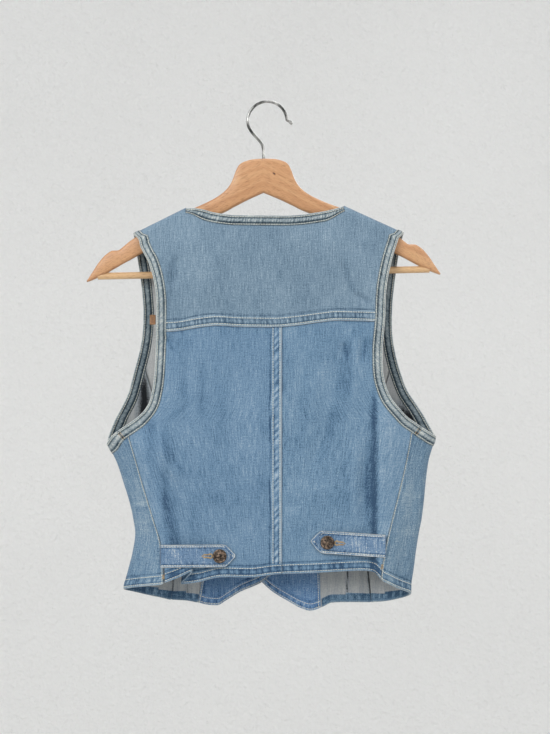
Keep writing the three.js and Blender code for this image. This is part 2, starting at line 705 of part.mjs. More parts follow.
function frontSurface(half) {
  const { low, corner, top, edgeLow, neckX } = frontFrame(half);
  const seamX = (z) => read(PRINCESS_SEAM, "z", z, key(half)) - SEAM_GAP / 2;
  const outerX = (z) => half * (z < corner ? seamX(z) : armholeX(half, FRONT, z));
  const innerX = (z) => half * read(FRONT_EDGE, "z", z, key(half));
  const hem = (u, axis) => read(FRONT_HEM, "u", u, `${axis}${half === LEFT ? "Left" : "Right"}`);
  return (u, v) => {
    const zOuter = mix(low, top, v);
    const zInner = mix(edgeLow, ridge(neckX), v);
    const shape = (1 - clamp01(v / 0.3)) ** 2;
    const hemShift = half * hem(u, "x") - mix(innerX(edgeLow), outerX(low), u);
    const x = mix(innerX(zInner), outerX(zOuter), u) + shape * hemShift;
    const level = mix(zInner, zOuter, u) + shape * (hem(u, "z") - mix(edgeLow, low, u));
    const underRidge = ridge(x) - (1 - v) * (top - low);
    return skin(FRONT, x, mix(level, underRidge, ease((v - 0.85) / 0.1)), half * OVERLAP_SHIFT);
  };
}

const FACING_END = { [LEFT]: 0.65, [RIGHT]: 0.57 };

function front(half) {
  const rows = frontRows(half);
  const hem = (u, v) => v < rows[1] + 0.001 && u > FACING_END[half] + 0.01;
  return wall(frontSurface(half), FRONT_COLUMNS, rows, half === LEFT ? 1 : -1, () => HALF,
    (u, v) => HALF + (hem(u, v) ? HEM_RISE : 0));
}

function facing(half) {
  const us = FRONT_COLUMNS.filter((u) => u <= FACING_END[half] + 1e-6);
  const near = HALF + FACING_GAP;
  return wall(frontSurface(half), us, frontRows(half), half === LEFT ? 1 : -1, () => -near, () => near + CLOTH);
}

// Armhole and neck bindings
const BAND_SHARES = [1, 2 / 3, 1 / 3, 0]; // lines across the band, from its inner edge

function armholeBand(half) {
  const lines = BAND_SHARES.map((share) => armholeInside(half, BAND_EDGE + share * BAND_WIDTH));
  const place = ({ q, z, x }) => {
    const small = 0.4;
    const alongQ = wrap(half, q + small, z).sub(wrap(half, q - small, z));
    const alongZ = wrap(half, q, Math.min(z + small, ridge(half * x))).sub(wrap(half, q, z - small));
    return { at: wrap(half, q, z), out: alongQ.cross(alongZ).normalize().multiplyScalar(half) };
  };
  return binding(lines[0].map((_, i) => lines.map((line) => place(line[i]))));
}

function neckBand() {
  const STATIONS = 22;
  const MARGIN = 5;
  const outAt = (x, z) => {
    const small = 0.4;
    const across = skin(BACK, x + small, z).sub(skin(BACK, x - small, z));
    const up = skin(BACK, x, z + small).sub(skin(BACK, x, z - small));
    return across.cross(up).normalize();
  };
  return binding(Array.from({ length: STATIONS + 1 }, (_, i) => {
    const x = mix(NECK_LEFT + MARGIN, NECK_RIGHT - MARGIN, i / STATIONS);
    const edgeZ = read(NECK, "x", x, "z") - BAND_EDGE;
    const slope = (read(NECK, "x", x + 2, "z") - read(NECK, "x", x - 2, "z")) / 4;
    const length = Math.hypot(1, slope);
    return BAND_SHARES.map((share) => {
      const reach = BAND_WIDTH * share;
      const px = x + (slope / length) * reach;
      const pz = edgeZ - reach / length;
      return { at: skin(BACK, px, pz), out: outAt(px, pz) };
    });
  }));
}

// Waist tabs, drawn taut over the back from the side seam to their button
const TAB_ROWS = [0, 0.14, 0.3, 0.46, 0.62, 0.78, 0.865, 0.93, 1];

function tabLine(half) {
  const tab = TABS[half];
  const clear = HALF + 0.8 + HALF * 2;
  const at = (share) => tab.root - half * share * TAB_LENGTH;
  const proud = TAB_ROWS.map((share) => {
    const levels = [-1, -0.5, 0, 0.5, 1].map((k) => tab.z + k * TAB_HALF_WIDTH);
    return Math.min(...levels.map((z) => skin(BACK, at(share), z).y)) - clear;
  });
  // the cloth spans hollows: each station lies on the straight line between its proudest neighbours
  const taut = TAB_ROWS.map((share, i) => {
    let y = proud[i];
    for (let a = 0; a < i; a += 1) {
      for (let b = i + 1; b < TAB_ROWS.length; b += 1) {
        const t = (share - TAB_ROWS[a]) / (TAB_ROWS[b] - TAB_ROWS[a]);
        y = Math.min(y, mix(proud[a], proud[b], t));
      }
    }
    return { share, y };
  });
  return { at, y: (share) => read(taut, "share", share, "y") };
}

function waistTab(half) {
  const tab = TABS[half];
  const line = tabLine(half);
  const surface = (u, v) => {
    const toTip = (1 - u) * TAB_LENGTH;
    const halfWidth = TAB_HALF_WIDTH * Math.min(1, 0.12 + toTip / TAB_POINT);
    const x = line.at(u);
    return new THREE.Vector3(x, line.y(u), tab.z + tab.slope * (x - tab.root) + mix(-halfWidth, halfWidth, v));
  };
  const geometry = wall(surface, TAB_ROWS, [0, 0.5, 1], half === LEFT ? 1 : -1, () => HALF * 2, () => HALF * 2);
  return subtract(geometry, eye(tab.button, tab.z + tab.slope * (tab.button - tab.root)));
}

// Metal shank button: a domed head on a shank, facing along Y
function button(x, z, seatY, headY, facingSide) {
  const HEAD = 3.2;
  const profile = [
    [0, seatY],
    [SHANK_RADIUS, seatY],
    [SHANK_RADIUS, headY],
    [BUTTON_RADIUS - 0.8, headY],
    [BUTTON_RADIUS, headY + facingSide * 0.9],
    [BUTTON_RADIUS - 0.9, headY + facingSide * 2.2],
    [BUTTON_RADIUS * 0.55, headY + facingSide * HEAD],
    [0, headY + facingSide * (HEAD - 0.4)],
  ].map(([r, y]) => new THREE.Vector2(r, y));
  const lathe = new THREE.LatheGeometry(profile, 16);
  lathe.deleteAttribute("normal");
  lathe.deleteAttribute("uv");
  const merged = mergeVertices(lathe, 1e-4);
  const position = merged.attributes.position;
  const pointAt = (i) => new THREE.Vector3().fromBufferAttribute(position, i);
  const points = Array.from({ length: position.count }, (_, i) => pointAt(i));
  const faces = [];
  for (let i = 0; i < merged.index.count; i += 3) {
    const [a, b, c] = [0, 1, 2].map((k) => merged.index.getX(i + k));
    if (a !== b && b !== c && a !== c) faces.push([a, b, c]);
  }
  return solid(points, faces).translate(x, 0, z);
}

function tabButton(half) {
  const tab = TABS[half];
  const line = tabLine(half);
  const share = Math.abs(tab.button - tab.root) / TAB_LENGTH;
  const z = tab.z + tab.slope * (tab.button - tab.root);
  const around = [0, 1, 2, 3].map((k) => (k * Math.PI) / 2);
  const panel = Math.min(...around.map((a) => skin(BACK, tab.button + 3 * Math.cos(a), z + 3 * Math.sin(a)).y));
  const reach = (BUTTON_RADIUS + 1) / TAB_LENGTH;
  const proudest = Math.min(...[-1, -0.5, 0, 0.5, 1].map((k) => line.y(clamp01(share + k * reach))));
  return button(tab.button, z, panel - HALF - 0.7, proudest - HALF * 2 - 0.5, BACK);
}

function frontButton(index) {
  const z = FRONT_BUTTON_TOP - index * FRONT_BUTTON_PITCH;
  const under = skin(FRONT, CENTRE_FRONT, z, -OVERLAP_SHIFT).y + HALF;
  const over = skin(FRONT, CENTRE_FRONT, z, OVERLAP_SHIFT).y + HALF;
  return button(CENTRE_FRONT, z, under + 0.4, over + 0.6, FRONT);
}

// Small folded label at the left end of the yoke seam
function label() {
  const WIDTH = 6.5;
  const HEIGHT = 11;
  const TOP = -256;
  const edge = -armholeX(LEFT, BACK, TOP - HEIGHT / 2) - BAND_EDGE - BAND_GAP;
  const surface = (u, v) => {
    const z = mix(TOP - HEIGHT, TOP, v);
    const x = edge - (1 - u) * WIDTH;
    return new THREE.Vector3(x, skin(BACK, edge, z).y + (1 - u) * 1.5, z);
  };
  return wall(surface, [0, 0.5, 1], [0, 0.5, 1], 1, () => 0.8, () => 0.8);
}

// Hanger: outline of the arms by distance from the middle
const ARMS = table(["d", "top", "low"], [
  [0, -67, -108.4],
  [12, -67.5, -113.5],
  [24, -70.5, -119],
  [29, -73.5, -121.5],
  [33, -80, -123.5],
  [37, -91, -125.5],
  [41, -98.5, -127.8],
  [47, -105.3, -130.7],
  [55, -111.3, -134],
  [64, -116.2, -138],
  [78, -122.4, -144],
  [97, -129.7, -152.5],
  [114, -137.7, -161.5],
  [131, -145.7, -170],
  [148, -154.1, -178.5],
  [162, -163, -186],
  [170, -169.5, -190],
  [176, -173.4, -193.4],
  [182, -173.4, -196.6],
  [190, -177.6, -201],
  [199, -187, -205.4],
  [207, -199, -208.6],
  [212, -207, -210.3],
  [213.6, -209.4, -210.6],
]);

function armSection(row, side) {
  const x = HANGER_X + side * row.d;
  const lean = TILT * side * row.d;
  const top = row.top + lean;
  const low = row.low + lean;
  const corner = Math.min(ARM_ROUND, (top - low) / 3);
  const flat = ARM_HALF - corner;
  const y = bow(x);
  return [
    [-ARM_HALF, low + corner],
    [-ARM_HALF, top - corner],
    [-flat, top],
    [flat, top],
    [ARM_HALF, top - corner],
    [ARM_HALF, low + corner],
    [flat, low],
    [-flat, low],
  ].map(([dy, z]) => new THREE.Vector3(x, y + dy, z));
}

const hookPath = () => {
  const centreZ = WIRE_RADIUS - HOOK_RADIUS;
  const arc = [];
  for (let degrees = 8; degrees <= 192; degrees += 8) {
    const a = THREE.MathUtils.degToRad(degrees);
    arc.push([HOOK_X + HOOK_RADIUS * Math.cos(a), centreZ + HOOK_RADIUS * Math.sin(a)]);
  }
  const tip = [[31.5, -25.5], [28.5, -22.5]];
  const neck = [[-19.2, -32], [-14.5, -38.5], [-9, -44.5], [-5, -49.5]];
  const stem = [-56, -70, -92].map((z) => [HANGER_X, z]);
  return [...tip, ...arc, ...neck, ...stem];
};

function hook() {
  const path = hookPath();
  const sides = 8;
  return loft(path.map(([x, z], i) => {
    const [ax, az] = path[Math.max(0, i - 1)];
    const [bx, bz] = path[Math.min(path.length - 1, i + 1)];
    const length = Math.hypot(bx - ax, bz - az);
    const radius = i < 2 ? WIRE_RADIUS * 1.25 : WIRE_RADIUS;
    return Array.from({ length: sides }, (_, k) => {
      const angle = (k * 2 * Math.PI) / sides;
      const across = (radius * Math.cos(angle)) / length;
      return new THREE.Vector3(x - across * (bz - az), radius * Math.sin(angle), z + across * (bx - ax));
    });
  }));
}

const barShape = (radius, half) =>
  new THREE.CylinderGeometry(radius, radius, half * 2, 12)
    .rotateZ(Math.PI / 2)
    .rotateY(-Math.atan(TILT))
    .translate(HANGER_X, bow(HANGER_X + 195), BAR_Z);

function hangerWood() {
  const left = ARMS.slice(1).reverse().map((row) => armSection(row, -1));
  const right = ARMS.map((row) => armSection(row, 1));
  const stemHole = new THREE.CylinderGeometry(WIRE_RADIUS + 0.3, WIRE_RADIUS + 0.3, 60, 12)
    .rotateX(Math.PI / 2)
    .translate(HANGER_X, 0, -92.4 + 30);
  return subtract(loft([...left, ...right]), stemHole, barShape(BAR_RADIUS + 0.3, BAR_HALF + 0.4));
}

// Assembly
const vest = new THREE.Group();
vest.name = "denim_vest_on_hanger";

function add(name, geometry, finish) {
  const mesh = new THREE.Mesh(geometry, new THREE.MeshStandardMaterial(COLOURS[finish]));
  mesh.name = name;
  vest.add(mesh);
}

add("back_yoke", yoke(), "denim");
for (const half of [LEFT, RIGHT]) {
  const side = key(half);
  add(`back_panel_${side}`, backPanel(half), "denim");
  add(`side_panel_${side}`, sidePanel(half), "denim");
  add(`armhole_band_${side}`, armholeBand(half), "binding");
  add(`waist_tab_${side}`, waistTab(half), "denim");
  add(`tab_button_${side}`, tabButton(half), "brass");
}
const shankHoles = Array.from({ length: FRONT_BUTTONS }, (_, i) =>
  eye(CENTRE_FRONT, FRONT_BUTTON_TOP - i * FRONT_BUTTON_PITCH));
add("front_left", front(LEFT), "denim");
add("front_right", subtract(front(RIGHT), ...shankHoles), "denim");
add("facing_left", facing(LEFT), "facing");
add("facing_right", subtract(facing(RIGHT), ...shankHoles), "facing");
for (let i = 0; i < FRONT_BUTTONS; i += 1) add(`front_button_${i + 1}`, frontButton(i), "brass");
add("neck_band", neckBand(), "binding");
add("armhole_label", label(), "leather");
add("hanger_wood", hangerWood(), "wood");
add("hanger_bar", barShape(BAR_RADIUS, BAR_HALF), "bar");
add("hanger_hook", hook(), "chrome");

export default vest;
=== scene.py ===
"""A washed denim vest on a wooden coat hanger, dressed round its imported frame.

Lengths in the tables and shapes are millimetres in the frame of the part: the hook's inner top is the
origin, +X is to the wearer's right, the back faces -Y and +Z is up. A mesh is made in metres.
"""

import math

import bpy
import numpy as np
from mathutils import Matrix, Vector


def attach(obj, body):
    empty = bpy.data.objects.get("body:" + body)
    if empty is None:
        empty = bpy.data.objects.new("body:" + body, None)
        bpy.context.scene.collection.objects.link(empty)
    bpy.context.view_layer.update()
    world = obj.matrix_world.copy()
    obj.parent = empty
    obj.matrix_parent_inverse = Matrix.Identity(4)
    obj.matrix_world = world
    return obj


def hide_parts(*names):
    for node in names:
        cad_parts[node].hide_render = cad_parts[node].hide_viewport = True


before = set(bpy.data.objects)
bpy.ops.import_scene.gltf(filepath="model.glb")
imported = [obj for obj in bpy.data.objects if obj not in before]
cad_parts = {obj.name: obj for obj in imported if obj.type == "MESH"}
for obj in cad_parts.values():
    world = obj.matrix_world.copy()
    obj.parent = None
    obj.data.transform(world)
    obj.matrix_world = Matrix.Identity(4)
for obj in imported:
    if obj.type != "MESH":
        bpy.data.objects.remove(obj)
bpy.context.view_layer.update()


# Hook
# Steel wire of 3.5 mm, bent cold to a hook round a 44 mm former and chromed. Its tip is upset to a
# bead, and its stem is pressed into the top of the wooden arms.
MM = 0.001
WIRE_RADIUS = 1.75
HOOK_RADIUS = 23.6
HOOK_X = 1.5
HANGER_X = -3.0
TIP = [(31.8, -25.9), (30.2, -24.2), (28.4, -22.3)]
NECK_OF_HOOK = [(-19.2, -32.0), (-14.5, -38.5), (-9.0, -44.5), (-5.0, -49.8), (-3.2, -56.0)]
STEM = [(HANGER_X, -62.0), (HANGER_X, -74.0), (HANGER_X, -90.0)]


def piece(name, points, faces, finishes, slot, replaced=(), marks=None, worn_by=None):
    """A mesh of points in millimetres. finishes are its materials, and worn_by picks one for each face."""
    mesh = bpy.data.meshes.new(name)
    mesh.from_pydata((np.asarray(points) * MM).tolist(), [], [list(face) for face in faces])
    mesh.shade_smooth()
    for finish in finishes:
        mesh.materials.append(finish)
    if worn_by is not None:
        mesh.polygons.foreach_set("material_index", worn_by.astype(np.int32))
    for mark, values in (marks or {}).items():
        kind, field = ("FLOAT_VECTOR", "vector") if values.ndim > 1 else ("FLOAT", "value")
        made = mesh.attributes.new(mark, kind, "POINT")
        made.data.foreach_set(field, values.astype(np.float32).ravel())
    body = bpy.data.objects.new(name, mesh)
    bpy.context.scene.collection.objects.link(body)
    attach(body, "root")
    if replaced:
        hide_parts(*replaced)
    return body


def run_of(line):
    """Distance along a line to each of its places."""
    return np.r_[0, np.cumsum(np.linalg.norm(np.diff(line, axis=0), axis=1))]


def unit(ways):
    """The same ways with a length of 1."""
    return ways / np.maximum(np.linalg.norm(ways, axis=-1, keepdims=True), 1e-9)


def bell(distance, width):
    """1 at a distance of 0, falling off smoothly on both sides of it."""
    return np.exp(-((distance / width) ** 2))


def curve(low, high, rise_low, rise_high, t):
    """A smooth step from low to high at a share t, with a given rise at each of its ends."""
    step = low + (high - low) * t * t * (3 - 2 * t)
    return step + rise_low * (t**3 - 2 * t * t + t) + rise_high * (t**3 - t * t)


def smooth_line(points, spacing):
    """Places every spacing millimetres on a smooth line through points."""
    points = np.array(points, float)
    chord = run_of(points)
    slope = np.gradient(points, chord, axis=0)
    fine = np.linspace(0, chord[-1], int(chord[-1] / spacing * 8) + 2)
    i = np.clip(np.searchsorted(chord, fine, side="right") - 1, 0, len(chord) - 2)
    width = (chord[i + 1] - chord[i])[:, None]
    share = (fine - chord[i])[:, None] / width
    line = curve(points[i], points[i + 1], slope[i] * width, slope[i + 1] * width, share)
    run = run_of(line)
    at = np.linspace(0, run[-1], max(2, int(round(run[-1] / spacing)) + 1))
    return np.stack([np.interp(at, run, column) for column in line.T], -1)


def circle(sides):
    """Angles at even steps once round."""
    return np.linspace(0, 2 * np.pi, sides, endpoint=False)


def tube(rings, capped=True):
    """Points and faces of a skin through rings of places, with a flat cap at each end."""
    index = np.arange(rings.shape[0] * rings.shape[1]).reshape(rings.shape[:2])
    after = np.roll(index, -1, axis=1)
    faces = np.stack([index[:-1], after[:-1], after[1:], index[1:]], -1).reshape(-1, 4).tolist()
    caps = [index[0, ::-1].tolist(), index[-1].tolist()] if capped else []
    return rings.reshape(-1, 3), faces + caps


def rod(line, radii, sides):
    """Points and faces of a round rod along a line that lies flat in X and Z."""
    depth = np.array([0.0, 1.0, 0.0])
    across = np.cross(unit(np.gradient(line, axis=0)), depth)
    turn = circle(sides)[:, None]
    ring = across[:, None] * np.cos(turn) + depth * np.sin(turn)
    return tube(line[:, None] + ring * np.asarray(radii)[:, None, None])


def finish(name, values):
    """A new material, with plain values set on the shader's own sockets."""
    made = bpy.data.materials.new(name)
    made.use_nodes = True
    shader = made.node_tree.nodes["Principled BSDF"]
    for socket, value in values.items():
        shader.inputs[socket].default_value = value
    return made, shader


def node(made, kind, values=None, pick=0, **settings):
    """The output of a new node. A value that is itself an output is joined to the input."""
    new = made.node_tree.nodes.new("ShaderNode" + kind)
    for setting, value in settings.items():
        setattr(new, setting, value)
    for socket, value in (values or {}).items():
        if isinstance(value, bpy.types.NodeSocket):
            made.node_tree.links.new(value, new.inputs[socket])
        else:
            new.inputs[socket].default_value = value
    return new.outputs[pick]


def grain(made, place, scale, detail=2.0):
    """Noise between 0 and 1 over a place stretched by a scale for each axis."""
    stretched = node(made, "VectorMath", {0: place, 1: scale}, operation="MULTIPLY")
    return node(made, "TexNoise", {"Vector": stretched, "Scale": 1.0, "Detail": detail})


def add_share(made, value, share, base):
    """value times share, plus base."""
    return node(made, "Math", {0: value, 1: share, 2: base}, operation="MULTIPLY_ADD")


def ramp(made, value, stops):
    """A colour for each value, from stops of (value, red, green, blue) in screen colours."""
    new = made.node_tree.nodes.new("ShaderNodeValToRGB")
    made.node_tree.links.new(value, new.inputs[0])
    keys = new.color_ramp.elements
    keys.remove(keys[1])
    keys[0].position = stops[0][0]
    keys[0].color = (*linear(stops[0][1:]), 1)
    for at, *colour in stops[1:]:
        keys.new(at).color = (*linear(colour), 1)
    return new.outputs[0]


def linear(colour):
    """Scene colour of a screen colour of 0 to 255."""
    return [((c / 255 + 0.055) / 1.055) ** 2.4 for c in colour]


def wear_into(made, shader, colour, height, depth):
    """Joins a colour and a relief of some depth in millimetres to the shader."""
    made.node_tree.links.new(colour, shader.inputs["Base Color"])
    relief = node(made, "Bump", {"Height": height, "Distance": depth * MM, "Strength": 1.0})
    made.node_tree.links.new(relief, shader.inputs["Normal"])


def mottled(name, values, scale, detail, stops, relief, depth, relief_detail=2.0):
    """A material whose colour and relief each follow a noise of their own scale."""
    made, shader = finish(name, values)
    place = node(made, "TexCoord", pick="Object")
    colour = ramp(made, grain(made, place, scale, detail), stops)
    wear_into(made, shader, colour, grain(made, place, relief, relief_detail), depth)
    return made


def hook_line():
    """The wire's middle line, from the tip over the top and down into the wood."""
    turn = np.radians(np.arange(4, 194, 4))
    centre_z = WIRE_RADIUS - HOOK_RADIUS
    arc = np.stack([HOOK_X + HOOK_RADIUS * np.cos(turn), centre_z + HOOK_RADIUS * np.sin(turn)], -1)
    flat = smooth_line([*TIP, *arc, *NECK_OF_HOOK, *STEM], 1.2)
    return np.stack([flat[:, 0], np.zeros(len(flat)), flat[:, 1]], -1)


def bead(line, radius, swell):
    """Radii along a wire that starts with a rounded bead and narrows behind it."""
    neck = 2.4
    run = np.linalg.norm(line - line[0], axis=1)
    ball = radius * swell
    round_end = np.sqrt(np.clip(1 - (1 - run / ball) ** 2, 0.02, 1))
    return np.where(run < ball, ball * round_end, radius + (ball - radius) * bell(run - ball, neck))


HOOK = hook_line()
CHROME_STOPS = [(0.38, 84, 84, 84), (0.5, 150, 150, 148), (0.66, 196, 196, 192)]
CHROME_VALUES = {"Metallic": 1.0, "Roughness": 0.16}
CHROME = mottled("chrome_plate", CHROME_VALUES, (120, 120, 70), 3, CHROME_STOPS, (500, 500, 900), 0.01)
piece("hook", *rod(HOOK, bead(HOOK, WIRE_RADIUS, 1.3), 20), [CHROME], "chrome", ["hanger_hook"])


# Trouser bar
# A plain turned dowel of 8.4 mm, glued with its ends in blind holes at the arms' tips. It is paler
# than the arms because it is another timber under the same lacquer.
TILT = math.tan(math.radians(1.2))
BAR_RADIUS = 4.2
BAR_Z = -204.0
BAR_HALF = 200.5
BAR_MEETS = 195.0  # the bar lies as far forward as the arms do at this distance from the middle
BOW = 12.0
BOW_POWER = 1.6
ARM_REACH = 214.0
KNOT = (9.8, -103.6, 0.0)  # a small dark knot near the middle of the arms
HEART = (84, 52, 36)  # the knot's colour


def bow(x):
    """How far forward the arms stand at x."""
    return BOW * (np.abs(x - HANGER_X) / ARM_REACH) ** BOW_POWER


def timber(name, pale, middle, dark, pore):
    """Lacquered wood whose growth lines run along the "grain" places, with fine pores and one knot."""
    made, shader = finish(name, {"Roughness": 0.42, "Coat Weight": 0.25, "Coat Roughness": 0.3})
    place = node(made, "Attribute", pick="Vector", attribute_name="grain")
    drift = grain(made, place, (0.008, 0.03, 0.05), 2)
    wander = node(made, "VectorMath", {0: place, 1: (0.3, 1.0, 1.0)}, operation="MULTIPLY")
    bent = node(made, "MapRange", {"Value": drift, "To Min": -14.0, "To Max": 14.0})
    shift = node(made, "CombineXYZ", {"Y": bent})
    rings = node(made, "VectorMath", {0: wander, 1: shift}, operation="ADD")
    growth = grain(made, rings, (0.01, 0.16, 0.16), 1)
    fibre = grain(made, place, (0.05, 1.7, 1.7), 3)
    flecks = grain(made, place, (0.16, 2.6, 2.6), 0)
    level = node(made, "VectorMath", {0: place, 1: (1.0, 1.3, 0.0)}, operation="MULTIPLY")
    from_knot = node(made, "VectorMath", {0: level, 1: KNOT}, pick=1, operation="DISTANCE")
    near = {"Value": from_knot, "From Min": 0.6, "From Max": 2.4, "To Min": 1.0, "To Max": 0.0}
    knot = node(made, "MapRange", near)
    tone = add_share(made, growth, 0.5, add_share(made, fibre, 0.3, add_share(made, knot, -0.6, 0.1)))
    wood = ramp(made, tone, [(0.05, *HEART), (0.3, *dark), (0.52, *middle), (0.75, *pale)])
    pores = ramp(made, flecks, [(0.3, *pore), (0.4, 255, 255, 255)])
    blend = {"data_type": "RGBA", "blend_type": "MULTIPLY"}
    colour = node(made, "Mix", {0: 0.5, 6: wood, 7: pores}, pick=2, **blend)
    wear_into(made, shader, colour, fibre, 0.05)
    return made


def bar():
    along = np.linspace(-BAR_HALF, BAR_HALF, 60)
    line = np.stack([HANGER_X + along, 0 * along + bow(HANGER_X + BAR_MEETS), BAR_Z + TILT * along], -1)
    points, faces = rod(line, np.full(len(line), BAR_RADIUS), 32)
    marks = {"grain": points[:, [0, 2, 1]]}
    return piece("trouser_bar", points, faces, [BAR_WOOD], "bar_wood", ["hanger_bar"], marks)


BAR_WOOD = timber("bar_timber", (216, 182, 138), (205, 168, 124), (184, 144, 102), (150, 114, 82))
bar()


# Arms
# Two arms of beech, 11 mm thick and cut with a shoulder notch near each tip, meet in the middle under
# the hook. They bow forward towards the tips, and their edges are rounded and lacquered.
ARM_HALF = 5.5
ARM_ROUND = 4.2
ARM_STRAIGHT = 210.0
ARM_TIP = 213.6
GRAIN_SLOPE = 0.47  # the grain follows the arms down


def table(names, *rows):
    """Named columns of numbers."""
    return {name: np.array(column, float) for name, column in zip(names.split(), zip(*rows))}


ARMS = table(
    "d top low",
    (0, -67, -108.4),
    (12, -67.5, -113.5),
    (24, -70.5, -119),
    (29, -73.5, -121.5),
    (33, -80, -123.5),
    (37, -91, -125.5),
    (41, -98.5, -127.8),
    (47, -105.3, -130.7),
    (55, -111.3, -134),
    (64, -116.2, -138),
    (78, -122.4, -144),
    (97, -129.7, -152.5),
    (114, -137.7, -161.5),
    (131, -145.7, -170),
    (148, -154.1, -178.5),
    (162, -163, -186),
    (170, -169.5, -190),
    (176, -173.4, -193.4),
    (182, -173.4, -196.6),
    (190, -177.6, -201),
    (199, -187, -205.4),
    (207, -199, -208.6),
    (212, -207, -210.3),
    (213.6, -209.4, -210.6),
)


def read(rows, column, at, name):
    """Value of a named column at places between its rows, on a smooth curve without overshoot."""
    x, y = rows[column], rows[name]
    rise = np.diff(y) / np.diff(x)
    before, after = rise[:-1], rise[1:]
    total = np.where(before + after == 0, 1, before + after)
    inner = np.where(before * after > 0, 2 * before * after / total, 0)
    slope = np.r_[rise[0], inner, rise[-1]]
    at = np.clip(at, x[0], x[-1])
    i = np.clip(np.searchsorted(x, at, side="right") - 1, 0, len(x) - 2)
    width = x[i + 1] - x[i]
    return curve(y[i], y[i + 1], slope[i] * width, slope[i + 1] * width, (at - x[i]) / width)


def arms():
    """Both arms as one tube of sections with rounded corners."""
    away = np.r_[np.arange(0, ARM_STRAIGHT, 2.0), np.linspace(ARM_STRAIGHT, ARM_TIP, 6)]
    distance = np.r_[-away[:0:-1], away]
    x = HANGER_X + distance
    top = read(ARMS, "d", np.abs(distance), "top") + TILT * distance
    low = read(ARMS, "d", np.abs(distance), "low") + TILT * distance
    half = (top - low)[:, None] / 2
    corner = np.minimum(ARM_ROUND, half * 0.7)
    turn = np.radians(np.linspace(0, 90, 6))
    back = turn[::-1]
    depth, height = [], []
    for sign_y, sign_z, angles in ((1, 1, turn), (-1, 1, back), (-1, -1, turn), (1, -1, back)):
        depth.append(sign_y * (ARM_HALF - corner * (1 - np.cos(angles))))
        height.append(sign_z * (half - corner * (1 - np.sin(angles))))
    depth, height = np.concatenate(depth, 1), np.concatenate(height, 1)
    middle = ((top + low) / 2)[:, None]
    points, faces = tube(np.stack([x[:, None] + 0 * depth, bow(x)[:, None] + depth, middle + height], -1))
    along = points[:, [0, 2, 1]]
    along[:, 1] += np.repeat(np.abs(distance) * GRAIN_SLOPE, depth.shape[1])
    return piece("arms", points, faces, [ARM_WOOD], "hanger_wood", ["hanger_wood"], {"grain": along})


ARM_WOOD = timber("arm_timber", (199, 160, 116), (187, 140, 98), (166, 116, 77), (132, 92, 62))
arms()


# Back yoke
# One piece of washed denim from shoulder to shoulder. Its lower edge is folded and felled over the
# back panels with two rows of stitches. It turns over the shoulder ridge, which lies on the arms.
BACK, FRONT = -1, 1
LEFT, RIGHT = -1, 1
SIDE = {LEFT: "left", RIGHT: "right"}
HALF = 0.6  # half of a single layer
LAP_RISE = 1.2
LAP_WIDTH = 12.0
FOLD_RADIUS = 9.0
FOLD_ARC = FOLD_RADIUS * math.pi / 2
SWELL = {BACK: 14.0, FRONT: 12.5}
SIDE_REACH = 24.0
RIDGE_REACH = 45.0
CENTRE_FRONT = -1.5
CENTRE_BACK = 18.5
OVERLAP = 1.9
OVERLAP_FLAT = 16.0  # half of the width over which the fronts lie this far apart
OVERLAP_FADE = 28.0
NECK_SOFTNESS = 40.0
BOW_LOW = -420.0  # the cloth follows the arms' bow from this height up
BOW_RISE = 220.0
FOLD_INSET = 30.0  # folds fade out this close to a side fold
CREASE_GAIN = 1.45
SHOULDER_TOP = -80.5
SHOULDER_SLOPE = 0.47
BAND_EDGE = 2.1  # the bindings reach this far beyond the cloth's edge
BAND_WIDTH = 10.5
PUCKER = 0.5
ROW = 1.9  # a row of stitches lies this far inside a band's edge
RIM = 0.3  # how round a cut edge is, as a share of its thickness
STITCH = 3.0
THREAD = 0.4
GRID = 1.7  # spacing of the places of a panel's mesh
SIDE_FOLD = table(
    "z left right",
    (-605, 175, 174),
    (-581, 170.5, 174.5),
    (-560, 165, 177.5),
    (-540, 160, 180),
    (-518, 157, 183.5),
    (-500, 159.5, 187),
    (-480, 164, 189.5),
    (-459, 170.5, 191.5),
    (-432, 179.5, 195),
    (-418, 186.5, 198.8),
    (-402, 194.5, 203.5),
    (-380, 198, 205.5),
)
ARMHOLE_BACK = table(
    "z_left x_left z_right x_right",
    (-159.5, 160.5, -156, 166.5),
    (-172, 151.5, -167, 158.5),
    (-194, 140.5, -187, 152),
    (-225, 132.5, -220, 145),
    (-268, 131.5, -263, 142.5),
    (-310, 132.5, -303, 139.5),
    (-346, 136, -337, 142.5),
    (-362, 140.5, -354, 149),
    (-376, 151.5, -368, 160),
    (-386, 165, -379, 171),
    (-391, 172.7, -383.5, 177.7),
    (-396, 180, -388, 184),
)
ARMHOLE_FRONT = table(
    "z_left x_left z_right x_right",
    (-185, 156.5, -180, 161.5),
    (-218, 152, -212, 157),
    (-255, 149.5, -250, 153.5),
    (-288, 152, -285, 154.5),
    (-304, 155.3, -300, 157),
    (-320, 159.5, -315, 160.5),
    (-335, 163.3, -330, 165.3),
    (-350, 167.5, -345, 171),
    (-372, 178, -366, 184.5),
)
UNDERARM_LOW = {LEFT: -409.5, RIGHT: -400.5}
NECK = table(
    "x z",
    (-97, -126.5),
    (-86, -127),
    (-75, -129),
    (-65, -132),
    (-51, -134.5),
    (-36, -136),
    (24, -136.5),
    (41, -135.5),
    (59, -133),
    (77, -129.5),
    (94, -124.5),
)
YOKE_SEAM = table(
    "x z",
    (-132, -276),
    (-106, -274.5),
    (-82, -270.5),
    (-58, -268),
    (-30, -269.5),
    (10, -270),
    (35, -268),
    (65, -264),
    (85, -262),
    (110, -262.5),
    (146, -263.5),
)
